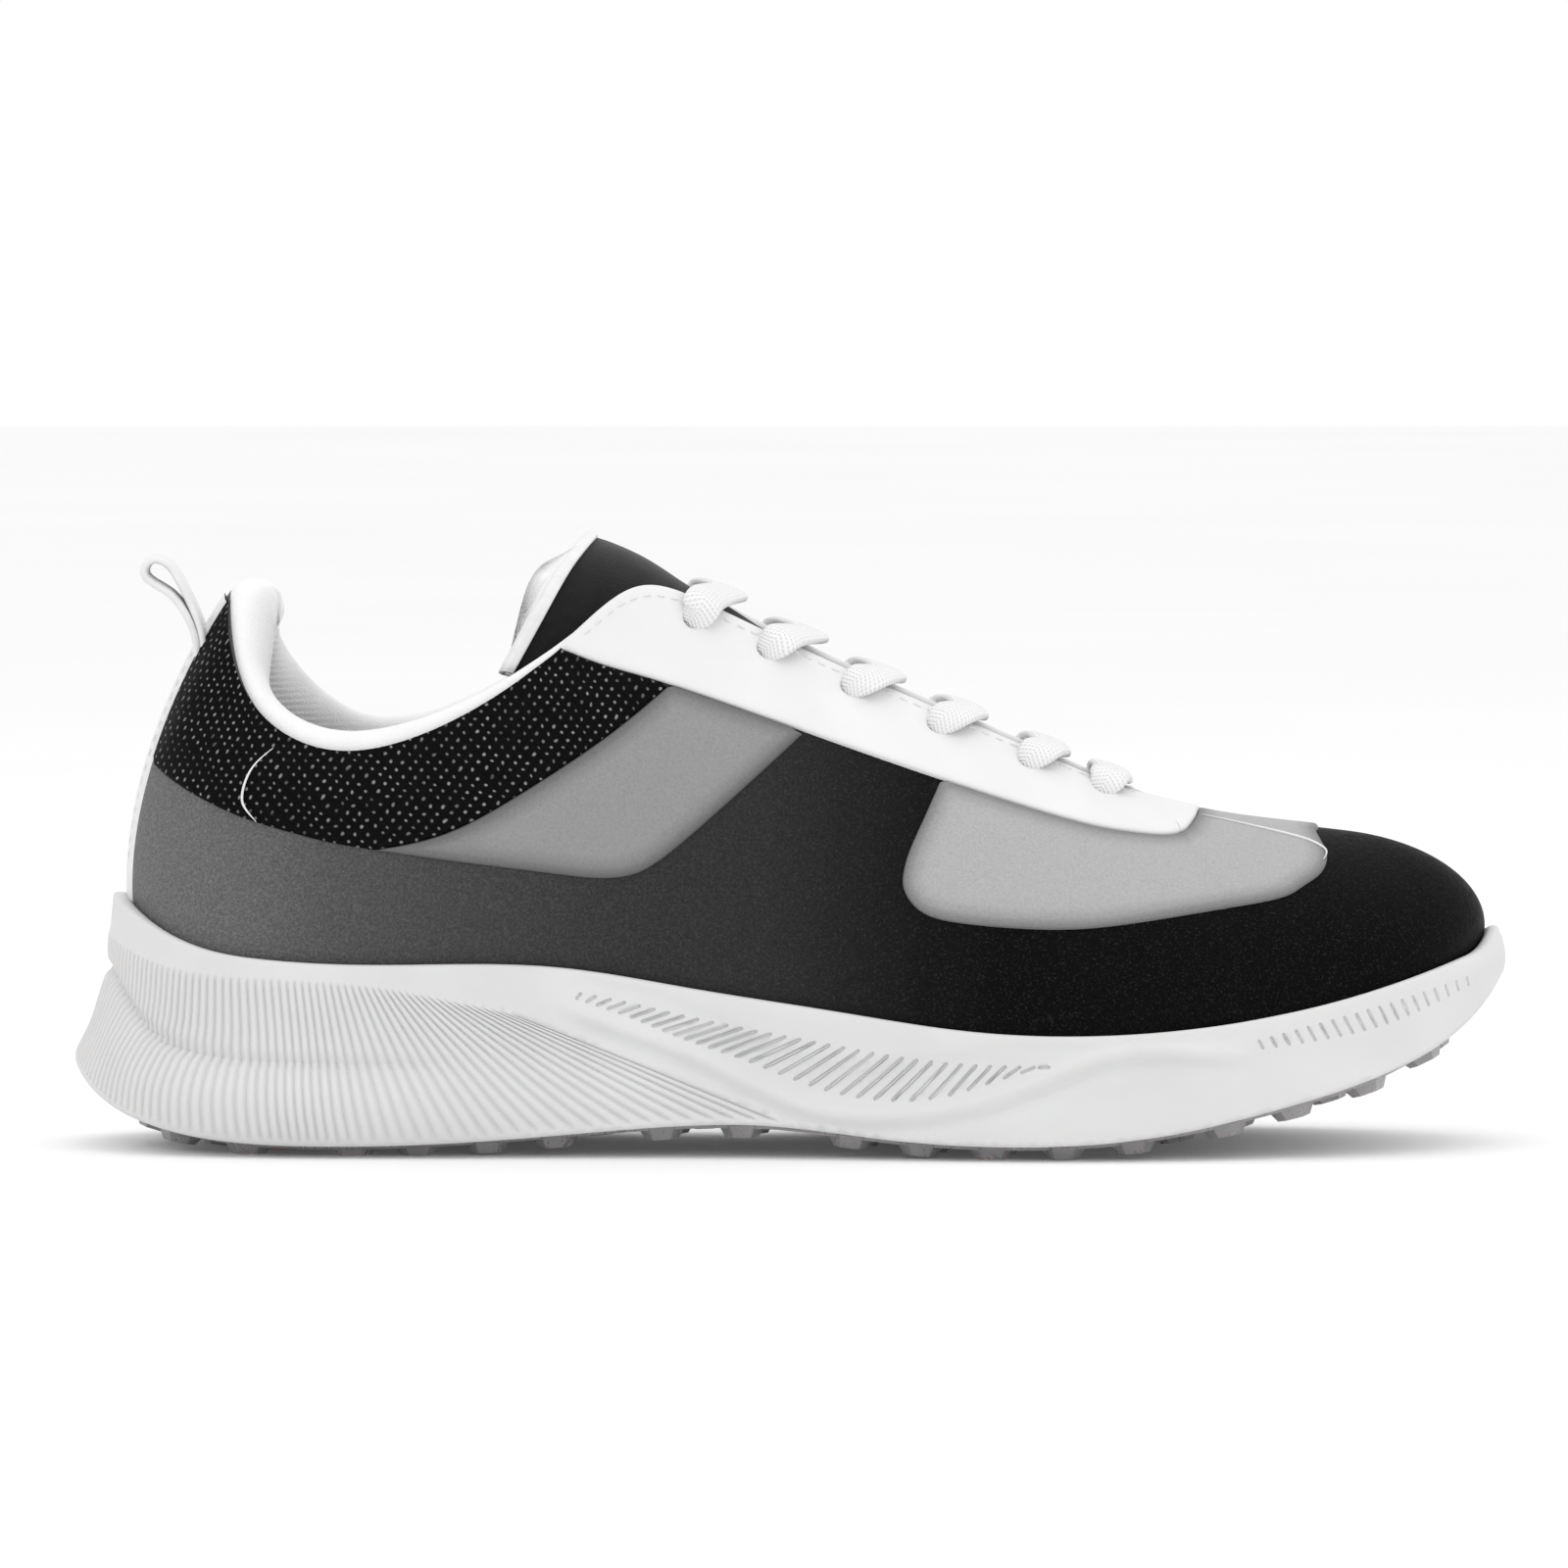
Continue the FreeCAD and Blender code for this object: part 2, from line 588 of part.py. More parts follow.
# ---- lace -----------------------------------------------------------------------------------
def ribbon(points, ups, widths, thicks):
    """Flat cord through points, with its own up direction, width and thickness at each."""
    track = Track([(i, p.x, p.y, p.z, up.x, up.y, up.z, w, t)
                   for i, (p, up, w, t) in enumerate(zip(points, ups, widths, thicks))])
    top = []
    bottom = []
    for where in steps(0, len(points) - 1, 5 * (len(points) - 1)):
        row = track.at(where)
        near = track.at(min(where + 0.05, len(points) - 1))
        far = track.at(max(where - 0.05, 0))
        along = (V(*near[:3]) - V(*far[:3])).normalize()
        side = along.cross(V(*row[3:6])).normalize()
        lift = side.cross(along).normalize()
        centre = V(*row[:3])
        half = side * (row[6] / 2)
        top.append([centre + half * s + lift * (row[7] / 2) for s in (-1, 1)])
        bottom.append([centre + half * s - lift * (row[7] / 2) for s in (-1, 1)])
    return slab_between(top, bottom)


def lace_bar(row):
    """One visible run of lace: out of an eyelet, over the throat and into the other eyelet."""
    u, v = EYELETS[row]
    points = []
    ups = []
    for side, order in ((1, 1), (-1, -1)):
        hole = rib_point(side * u, v)
        away = normal(side * u, v)
        edge = rib_point(side * (u + LACE_LEAD), 1)
        edge_up = (normal(side * (u + LACE_LEAD), 1) + V(0, 0, 0.7)).normalize()
        inward = (edge - hole).normalize()
        half = [hole - away * 3.3 - inward * 0.4, hole - away * 0.8, hole + away * 1.6 + inward * 0.8,
                edge + edge_up * 2.2 + V(0, 0, 0.2)]
        half_ups = [inward * -1, inward * -1, (away - inward * 0.7).normalize(), edge_up]
        if order > 0:
            points += half
            ups += half_ups
            ahead = u + LACE_LEAD * 1.2
            points.append((rib_point(ahead, 1) + rib_point(-ahead, 1)) * 0.5 + V(0.9, 0, 3.1))
            ups.append(V(0.35, 0, 1).normalize())
        else:
            points += half[::-1]
            ups += half_ups[::-1]
    neck = [LACE_NECK_WIDTH, LACE_NECK_WIDTH, LACE_NECK_WIDTH + 1.2]
    full = [LACE_WIDTH] * 3
    thin = [LACE_NECK_THICK] * 3
    flat = [LACE_THICK] * 3
    return ribbon(points, ups, neck + full + neck[::-1], thin + flat + thin)


def hidden_run(row, side):
    """Lace under the eyestay from one eyelet to the next."""
    points = []
    ups = []
    for share in steps(0, 1, 4):
        u = EYELETS[row][0] + (EYELETS[row + 1][0] - EYELETS[row][0]) * share
        v = EYELETS[row][1] + (EYELETS[row + 1][1] - EYELETS[row][1]) * share
        points.append(layer_point(side * u, v, 3.4))
        ups.append(normal(side * u, v))
    count = len(points)
    return ribbon(points, ups, [LACE_NECK_WIDTH] * count, [1.1] * count)


def make_lace():
    pieces = [lace_bar(row) for row in range(len(EYELETS))]
    for row in range(len(EYELETS) - 1):
        side = -1 if row % 2 == 0 else 1
        pieces.append(hidden_run(row, side))
    return pieces[0].fuse(pieces[1:])


# ---- sole -----------------------------------------------------------------------------------
def wall_section(u):
    """Midsole wall at a station: rim, outer face down to under the shoe, and the cup side."""
    v_rim = rim_height(u)
    away = outward(u)
    inside = layer_point(u, v_rim, -CUP_GAP)
    flare = FLARE.at(abs(u))[0]
    rim = LIP.at(abs(u))[0]
    rim_z = inside.z
    outer = []
    for share, lip, spread in WALL_SHAPE:
        z = rim_z + (-4 - rim_z) * share
        outer.append(V(inside.x, inside.y, z) + away * (rim * lip + flare * spread))
    cup = [layer_point(u, v_rim * (1 - share), -CUP_GAP) for share in (0, 0.3, 0.6, 0.85, 1)]
    foot = cup[-1] - away * 0.1
    for share in (0.12, 0.5, 1):
        cup.append(V(foot.x, foot.y, foot.z + (-4 - foot.z) * share))
    return outer, cup


def make_midsole():
    solids = []
    for side in (1, -1):
        sections = [wall_section(side * u) for u in steps(0, TOE, 42)]
        solids.append(slab_between([s[0] for s in sections], [s[1] for s in sections]))
    core_top = -BOARD_THICK - LAYER_GAP
    core = plan_prism(foot_outline(-3), -4, 60)
    core = core.common(profile_slab(BOARD_LINE, -60, core_top))
    body = solids[0].fuse([solids[1], core])
    return body.common(profile_slab(UNDERSIDE, 0, 60)).removeSplitter()


def stud_sites():
    """Plan positions of the studs: two rings that follow the edge, then rows between them."""
    sites = []
    for inset, gap in STUD_RINGS:
        outline = foot_outline(inset, OUTSOLE_FLARE)
        travelled = gap
        count = len(outline)
        for i in range(count):
            start = V(outline[i][0], outline[i][1], 0)
            end = V(outline[(i + 1) % count][0], outline[(i + 1) % count][1], 0)
            travelled += (end - start).Length
            if travelled >= gap and all((start - other).Length > gap * 0.9 for other in sites):
                sites.append(start)
                travelled = 0
    return sites


def underside_height(x):
    return Track(UNDERSIDE).at(x)[0]


def make_stud(site, radius):
    """Six-sided tapered lug square to the underside, cut off level with the ground."""
    z = underside_height(site.x)
    slope = (underside_height(site.x + 0.5) - underside_height(site.x - 0.5))
    centre = V(site.x, site.y, z - OUTSOLE_THICK * 0.5)
    corners = [V(radius * math.cos(math.radians(60 * k)), radius * math.sin(math.radians(60 * k)), 0)
               for k in range(7)]
    top = Part.makePolygon([c * STUD_TOP_GROWTH for c in corners])
    foot = Part.makePolygon([V(c.x * STUD_FOOT_SHARE, c.y * STUD_FOOT_SHARE,
                               -STUD_DROP + OUTSOLE_THICK * 0.5) for c in corners])
    stud = Part.makeLoft([top, foot], True, True)
    stud.rotate(V(0, 0, 0), V(0, 1, 0), -math.degrees(math.atan(slope)))
    stud.translate(centre)
    return stud


def make_outsole():
    plate = plan_prism(foot_outline(OUTSOLE_INSET, OUTSOLE_FLARE), -5, 60)
    plate = plate.common(profile_slab(UNDERSIDE, -OUTSOLE_THICK, 0))
    studs = [make_stud(site, STUD_RADIUS) for site in stud_sites()]
    ground = Part.makeBox(320, 120, 60, V(-160, -60, 0))
    return plate.fuse(studs).common(ground).removeSplitter()


# ---- heel pull tab --------------------------------------------------------------------------
TAB_OUTLINE = [
    [(-124.6, 108.2), (-126, 110.6), (-128.6, 113.4), (-133.6, 117), (-134.6, 119.6),
     (-133.4, 122.4), (-130.6, 122.8), (-127.2, 120.6), (-124.4, 116.8), (-122.6, 113.6),
     (-122.3, 109.2)],
    [(-122.3, 109.2), (-124.6, 108.2)],
]
TAB_SLOT = [(-131.8, 118.8), (-131.2, 120.2), (-129.4, 119.4), (-126.4, 115.4), (-125.9, 113.9),
            (-127.2, 114.4), (-130.4, 117.2), (-131.8, 118.8)]


def make_pull_tab():
    body = side_prism(TAB_OUTLINE, -TAB_HALF_WIDTH, TAB_HALF_WIDTH)
    hole = side_prism([TAB_SLOT], -TAB_HALF_WIDTH - 1, TAB_HALF_WIDTH + 1)
    return body.cut(hole)


# ---- write the parts ------------------------------------------------------------------------
def make_parts():
    parts = {}
    pins = eyelet_drills()
    outside = -LAYER_GAP - OVERLAY_THICK
    eyestay = eyestay_prism()
    parts["eyestay"] = both_sides(outside, -LAYER_GAP, 0.3, eyestay).cut(pins)
    parts["vamp_panel"] = both_sides(outside, -LAYER_GAP, 0.3, vamp_prism().cut(eyestay))
    stiff = UPPER_THICK + LAYER_GAP
    lining = stiff + STIFFENER_THICK + LAYER_GAP
    for side, name in ((1, "lateral"), (-1, "medial")):
        parts["upper_" + name] = bootee_half(side, 0, UPPER_THICK, 0, 0).cut(pins)
        parts["vamp_lining_" + name] = bootee_half(side, lining, lining + LINING_THICK, 5.3,
                                                   0.05).cut(pins)
        below = bootee_half(side, outside, -LAYER_GAP, 0, 0.3).cut(eyestay)
        parts["midfoot_panel_" + name] = below.common(midfoot_prism(-side))
        parts["collar_panel_" + name] = below.common(collar_prism(-side)).cut(heel_box(0.1))
        backing = uv_layer([side * u for u in steps(5.6, 10.6, 12)], steps(0.84, 0.995, 4), stiff,
                           stiff + STIFFENER_THICK)
        parts["eyelet_backing_" + name] = backing.cut(pins)
    rim_edge = side_prism([[(-165, 56.5), (-132, 56.5)], [(-132, 56.5), (-132, 0)],
                           [(-132, 0), (-165, 0)], [(-165, 0), (-165, 56.5)]], -20, 20)
    strip = both_sides(outside, -LAYER_GAP, 0.3, heel_box(0))
    parts["heel_strip"] = strip.cut(rim_edge)
    parts["heel_counter"] = uv_layer(steps(-3.2, 3.2, 14), steps(0.03, 0.62, 8), stiff,
                                     stiff + STIFFENER_THICK)
    parts["toe_puff"] = uv_layer(steps(11.7, 16.3, 14), steps(0.04, 0.62, 8), stiff,
                                 stiff + STIFFENER_THICK)
    parts["collar_lining"] = make_collar_lining()
    parts["collar_foam"] = make_collar_foam()
    end = len(TONGUE) - 1
    for prefix, first, last, count in (("tongue_", 0, ROOT_END, 20),
                                       ("tongue_tip_", TIP_START, end, 10)):
        parts[prefix + "face"] = tongue_layer(first, last, count, 0, TONGUE_FACE_THICK)
        parts[prefix + "foam"] = tongue_layer(first, last, count, TONGUE_FOAM_TOP,
                                              TONGUE_FOAM_BOTTOM)
        parts[prefix + "lining"] = tongue_layer(first, last, count, TONGUE_LINING_TOP,
                                                TONGUE_LINING_BOTTOM)
    parts["tongue_binding"] = folded_strip(*make_tongue_binding())
    parts["lace"] = make_lace()
    board = plan_prism(foot_outline(0.2), -4, 60)
    parts["insole_board"] = board.common(profile_slab(BOARD_LINE, -BOARD_THICK, 0))
    sole = plan_prism(foot_outline(3.4), -4, 60)
    parts["insole"] = sole.common(profile_slab(BOARD_LINE, LAYER_GAP, LAYER_GAP + INSOLE_THICK))
    parts["midsole"] = make_midsole()
    parts["outsole"] = make_outsole()
    parts["pull_tab"] = make_pull_tab()
    return parts


os.makedirs("parts", exist_ok=True)
for part_name, part_shape in make_parts().items():
    part_shape.exportStep("parts/" + part_name + ".step")
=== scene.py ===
import math

import bmesh
import bpy
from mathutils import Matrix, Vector, kdtree
from mathutils.geometry import delaunay_2d_cdt


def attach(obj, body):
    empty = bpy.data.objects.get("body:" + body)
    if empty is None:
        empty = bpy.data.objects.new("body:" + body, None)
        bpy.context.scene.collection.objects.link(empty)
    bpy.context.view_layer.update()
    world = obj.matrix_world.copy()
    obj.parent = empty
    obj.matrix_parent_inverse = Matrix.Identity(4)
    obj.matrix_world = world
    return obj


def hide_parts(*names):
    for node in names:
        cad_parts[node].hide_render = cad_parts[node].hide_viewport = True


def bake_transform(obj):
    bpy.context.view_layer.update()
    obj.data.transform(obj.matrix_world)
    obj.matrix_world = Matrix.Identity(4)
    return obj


# Looks of the golf shoe.  Shapes are worked out in millimetres in the CAD frame (+X toe,
# +Y medial side, +Z up) and scaled to metres when a mesh is made.

MM = 0.001
TOE = 14
THROAT_END = 11
SEARCH_ROUNDS = 24
NEAR_RIDGE = 0.96
STATION_STEP = 0.05
NORMAL_STEP = 0.02

# ---- form of the upper: the CAD's ribs, a little fuller at the toe --------------------------
# Each row: station, foot of the rib (x, y, z), its top (x, y, z), and its two handles: how far
# the low one leans out and rises, and how far the high one leans out and drops.
LATERAL = [
    (0, -131, 0, 31, -116, 0, 116, 14.5, 22, 17, 24),
    (1, -126, -16, 31, -115.3, -11, 106.5, 13, 20, 12, 22),
    (2, -112, -26.5, 31, -109, -21.5, 91, 10.5, 16, 8, 18),
    (3, -90, -30.5, 31, -91, -28.5, 83.2, 10, 15, 6, 16),
    (4, -62, -31, 30.3, -67, -31, 90.5, 10, 16, 6, 18),
    (5, -36, -32, 28, -47, -29, 104.5, 9.5, 18, 7.5, 22),
    (6, -18, -34.5, 25.4, -32, -22.5, 116.2, 9.5, 20, 10, 20),
    (7, 0, -37.5, 22.4, -16, -16.5, 112.5, 9.5, 20, 14, 16),
    (8, 27, -42.5, 18.5, 10, -13, 100, 10, 20, 18, 12),
    (9, 57, -46, 16.5, 42, -11, 86, 10.5, 19, 20, 9.5),
    (10, 84, -43.5, 18, 66, -8.5, 75.6, 10, 18, 21, 6.5),
    (11, 98, -39.2, 20.5, 75, 0, 72.4, 10, 17, 24, 2),
    (12, 114, -34.5, 24, 88, 0.8, 69.3, 10.6, 16, 24, 1.5),
    (13, 130, -22, 29, 101, 2, 67.3, 13.5, 15, 25, 1.5),
    (14, 139, 5, 33.5, 113, 3.6, 65.8, 17.5, 13, 28, 1.5),
]
MEDIAL = [
    (1, -126, 16, 31, -114.5, 11, 108, 13, 20, 12, 22),
    (2, -112, 26, 31, -106, 21.5, 94, 10.5, 16, 8, 18),
    (3, -90, 28.5, 31, -89, 28.5, 85, 10, 15, 6, 16),
    (4, -62, 26, 30.3, -66, 31, 91.5, 11, 16, 7, 18),
    (5, -36, 22, 28, -47, 28.5, 105, 13, 20, 9, 22),
    (6, -18, 21.5, 25.4, -32, 22.5, 116.4, 14, 22, 12, 20),
    (7, 0, 24, 22.4, -16, 17, 112.7, 13, 21, 15, 16),
    (8, 27, 34, 18.5, 10, 13.5, 100.2, 10.5, 20, 19, 12),
    (9, 57, 43.5, 16.5, 42, 11.5, 86.2, 10, 19, 20, 9.5),
    (10, 84, 44.5, 18, 66, 8.5, 75.8, 9.5, 18, 21, 6.5),
    (11, 99, 42, 20.5, 75, 0, 72.4, 10, 17, 24, 2),
    (12, 115, 37.5, 24, 88, 0.8, 69.3, 10.6, 16, 24, 1.5),
    (13, 131, 26.5, 29, 101, 2, 67.3, 13.5, 15, 25, 1.5),
]
RIM_LINE = [(-152, 60), (-141, 56), (-137, 52), (-132, 48), (-122, 43), (-108, 40.4), (-85, 39.4),
            (-48, 39), (-20, 34.8), (12, 30), (36, 26.6), (60, 25.5), (85, 27), (110, 31.2),
            (130, 36.8), (140, 39.9), (144.3, 42.2), (147, 46), (150, 52)]
UNDERSIDE = [(-153, 26), (-149, 18.4), (-143.3, 12), (-135, 7.5), (-118, 3.6), (-96, 2.5),
             (-70, 3.2), (-29, 6.4), (-4, 7), (20, 4.5), (48, 3.2), (77, 5.3), (93, 8.4),
             (110, 12.7), (126, 18.1), (142, 27), (148, 33), (153, 40)]
RIM_LIP = [(0, 3.6), (1, 3.2), (3, 2.6), (11, 2.6), (12, 2.8), (13, 3.2), (14, 3)]
HEEL_FLARE = [(0, 9), (1, 8), (2, 6.5), (3, 5.5), (4, 5), (5, 4), (6, 2.5), (7, 1.2), (8, 0.8),
              (9, 0.8), (11, 0.8), (14, 1.2)]

EYESTAY_EDGE = [(-46.6, 104.8), (-37, 101.2), (-21, 96.3), (12, 84.5), (44, 73.6), (62, 68.2),
                (70, 66.6), (77, 65.7), (82, 66), (84.2, 67.5), (85.6, 69)]
COLLAR_EDGE = [(-134, 81.5), (-127, 76.5), (-119, 72.4), (-111, 69.3), (-102, 66.8), (-94, 64.9),
               (-85, 63.5)]
COLLAR_SLOPE = [(-85, 63.5), (-70, 67.1), (-54, 75.7), (-37, 87), (-23, 98.4)]
MIDFOOT_EDGE = [(-85, 63.5), (-70, 61.4), (-53, 59.3), (-40, 57.8), (-33, 58.2), (-26, 61.5),
                (-13, 72.4), (0, 84), (6, 89.5)]
VAMP_EDGE = [(33, 80), (28.4, 70.2), (25.2, 63.2), (23.9, 58), (24.6, 54.6), (27.2, 51.5),
             (33.4, 49.2), (46.8, 47.8), (63, 47.7), (82.7, 50.1), (100.8, 52.8), (106.9, 55.2),
             (111, 57.8), (112.6, 61), (111.8, 63.2), (110.6, 65.5)]
STAY_TIP = 86.3
VAMP_TIP = 110.4


class Track:
    """A smooth curve through rows of numbers; the first number of a row is its position."""

    def __init__(self, rows):
        self.where = [row[0] for row in rows]
        self.rows = [list(row[1:]) for row in rows]
        self.bend = list(zip(*[self._bends(column) for column in zip(*self.rows)]))

    def _bends(self, values):
        """Second derivatives of the natural cubic spline through one column."""
        count = len(values)
        step = [self.where[i + 1] - self.where[i] for i in range(count - 1)]
        slope = [(values[i + 1] - values[i]) / step[i] for i in range(count - 1)]
        main = [1.0] * count
        right = [0.0] * count
        for i in range(1, count - 1):
            main[i] = 2 * (step[i - 1] + step[i])
            right[i] = 6 * (slope[i] - slope[i - 1])
            if i > 1:
                weight = step[i - 1] / main[i - 1]
                main[i] -= weight * step[i - 1]
                right[i] -= weight * right[i - 1]
        bends = [0.0] * count
        for i in range(count - 2, 0, -1):
            bends[i] = (right[i] - step[i] * bends[i + 1]) / main[i]
        return bends

    def at(self, position):
        low = 0
        high = len(self.where) - 1
        while high - low > 1:
            middle = (low + high) // 2
            if self.where[middle] <= position:
                low = middle
            else:
                high = middle
        span = self.where[high] - self.where[low]
        a = (self.where[high] - position) / span
        b = 1 - a
        first = (a ** 3 - a) * span * span / 6
        second = (b ** 3 - b) * span * span / 6
        pairs = zip(self.rows[low], self.rows[high], self.bend[low], self.bend[high])
        return [a * p + b * q + first * m + second * n for p, q, m, n in pairs]


def closed_track(columns):
    """A track round the whole foot: stations -14 to 14, and some repeated past each end."""
    medial = [(-row[0],) + tuple(row[c] for c in columns) for row in reversed(MEDIAL)]
    lateral = [(row[0],) + tuple(row[c] for c in columns) for row in LATERAL]
    rows = medial + lateral
    before = [(row[0] - 2 * TOE,) + row[1:] for row in rows[-5:]]
    after = [(row[0] + 2 * TOE,) + row[1:] for row in rows[:5]]
    return Track(before + rows + after)


def rear_top_track():
    medial = [(-row[0],) + row[4:7] for row in reversed(MEDIAL) if row[0] <= THROAT_END]
    lateral = [(row[0],) + row[4:7] for row in LATERAL if row[0] <= THROAT_END]
    return Track(medial + lateral)


def ridge_track():
    """Tops of the ribs in front of the throat, which meet on one line over the toes."""
    rows = [(row[0],) + row[4:7] for row in LATERAL if row[0] >= THROAT_END]
    mirrored = [(2 * TOE - row[0],) + row[1:] for row in reversed(rows[:-1])]
    return Track(rows + mirrored)


BASE = closed_track((1, 2, 3))
HANDLES = closed_track((7, 8, 9, 10))
REAR_TOP = rear_top_track()
RIDGE = ridge_track()
RIM = Track(RIM_LINE)
UNDER = Track(UNDERSIDE)
LIP = Track(RIM_LIP)
FLARE = Track(HEEL_FLARE)
RIBS = {}


def outward(u):
    """Plan direction that points away from the foot at station u."""
    ahead = BASE.at(u + STATION_STEP)
    behind = BASE.at(u - STATION_STEP)
    dx = ahead[0] - behind[0]
    dy = ahead[1] - behind[1]
    length = math.hypot(dx, dy)
    return Vector((dy / length, -dx / length, 0))


def rib(u):
    """The four curve points of the rib at station u."""
    key = round(u, 5)
    if key not in RIBS:
        base = Vector(BASE.at(u))
        top = Vector(REAR_TOP.at(u) if abs(u) <= THROAT_END else RIDGE.at(abs(u)))
        out_low, up_low, out_high, down_high = HANDLES.at(u)
        away = outward(u)
        RIBS[key] = (base, base + away * out_low + Vector((0, 0, up_low)),
                     top + away * out_high - Vector((0, 0, down_high)), top)
    return RIBS[key]


def rib_point(u, v):
    base, second, third, top = rib(u)
    w = 1 - v
    return base * w ** 3 + second * (3 * v * w * w) + third * (3 * v * v * w) + top * v ** 3


def side_normal(u, v):
    ahead = u + NORMAL_STEP
    behind = u - NORMAL_STEP
    if abs(u) <= THROAT_END:
        ahead = min(ahead, THROAT_END)
        behind = max(behind, -THROAT_END)
    elif u > 0:
        behind = max(behind, THROAT_END)
    else:
        ahead = min(ahead, -THROAT_END)
    along = rib_point(ahead, v) - rib_point(behind, v)
    up = rib_point(u, min(v + NORMAL_STEP, 1)) - rib_point(u, max(v - NORMAL_STEP, 0))
    return along.cross(up).normalized()


def normal(u, v):
    """Outward normal; on the ridge over the toes both sides share one normal."""
    if v >= 1 and abs(u) >= THROAT_END:
        across = 2 * TOE - u if u > TOE else -u
        return (side_normal(u, NEAR_RIDGE) + side_normal(across, NEAR_RIDGE)).normalized()
    return side_normal(u, v)


def layer_point(u, v, depth):
    """Point at a depth under the upper's outer face (negative lies outside it)."""
    return rib_point(u, v) - normal(u, v) * depth


def steps(start, end, count):
    return [start + (end - start) * i / count for i in range(count + 1)]


def smooth(low, high, value):
    """0 below low, 1 above high, and an even slide between."""
    share = min(max((value - low) / (high - low), 0), 1)
    return share * share * (3 - 2 * share)


def last_true(low, high, rounds, holds):
    """End of the range in which a test holds, found by halving."""
    for _ in range(rounds):
        middle = (low + high) / 2
        if holds(middle):
            low = middle
        else:
            high = middle
    return low


def squared(value, power):
    """A sine or cosine pushed towards a square section, its sign kept."""
    return math.copysign(abs(value) ** power, value)


# ---- mesh helpers ---------------------------------------------------------------------------
def new_mesh(name, points, faces, smooth_faces=True):
    """Object from millimetre points and index faces."""
    mesh = bpy.data.meshes.new(name)
    mesh.from_pydata([p * MM for p in points], [], faces)
    mesh.polygons.foreach_set("use_smooth", [smooth_faces] * len(mesh.polygons))
    mesh.update()
    piece = bpy.data.objects.new(name, mesh)
    bpy.context.scene.collection.objects.link(piece)
    return piece


def grid_faces(rows, columns, start=0, close_rows=False, close_columns=False):
    """Quads over a grid of rows by columns, wrapped round where asked."""
    faces = []
    for i in range(rows if close_rows else rows - 1):
        for j in range(columns if close_columns else columns - 1):
            a = start + i * columns + j
            b = start + i * columns + (j + 1) % columns
            c = start + ((i + 1) % rows) * columns + (j + 1) % columns
            d = start + ((i + 1) % rows) * columns + j
            faces.append((a, b, c, d))
    return faces


def grid_mesh(name, grid, **wrap):
    points = [p for row in grid for p in row]
    return new_mesh(name, points, grid_faces(len(grid), len(grid[0]), **wrap))


def tube_faces(rows, count, start=0):
    """Faces of a tube through closed sections, with a flat face at each end."""
    last = start + (rows - 1) * count
    faces = grid_faces(rows, count, start=start, close_columns=True)
    faces.append(tuple(range(start, start + count))[::-1])
    faces.append(tuple(range(last, last + count)))
    return faces


def tube_mesh(name, sections):
    """Mesh through closed sections of equal length, with flat ends."""
    points = [p for section in sections for p in section]
    return new_mesh(name, points, tube_faces(len(sections), len(sections[0])))


def weld(piece, distance=0.02):
    """Joins points that lie within a distance in millimetres."""
    work = bmesh.new()
    work.from_mesh(piece.data)
    bmesh.ops.remove_doubles(work, verts=work.verts, dist=distance * MM)
    bmesh.ops.recalc_face_normals(work, faces=work.faces)
    work.to_mesh(piece.data)
    work.free()
    piece.data.polygons.foreach_set("use_smooth", [True] * len(piece.data.polygons))
    return piece


def joined(name, pieces):
    """One object from several meshes."""
    points = []
    faces = []
    for piece in pieces:
        start = len(points)
        points += [vertex.co / MM for vertex in piece.data.vertices]
        faces += [tuple(start + i for i in polygon.vertices) for polygon in piece.data.polygons]
        bpy.data.objects.remove(piece)
    return new_mesh(name, points, faces)


STORES = ("edge", "round_foot", "up_foot")


def joined_keep(name, pieces):
    """One object from several meshes, with the numbers stored on their points."""
    stores = {store: [] for store in STORES}
    for piece in pieces:
        for store, kept in stores.items():
            attribute = piece.data.attributes.get(store)
            if attribute:
                kept += [item.value for item in attribute.data]
            else:
                kept += [0.0] * len(piece.data.vertices)
    result = joined(name, pieces)
    for store, values in stores.items():
        numbers(result, store, values)
    return result


def numbers(piece, name, values):
    """Stores one number for each point, for a material to read."""
    attribute = piece.data.attributes.new(name, "FLOAT", "POINT")
    attribute.data.foreach_set("value", values)


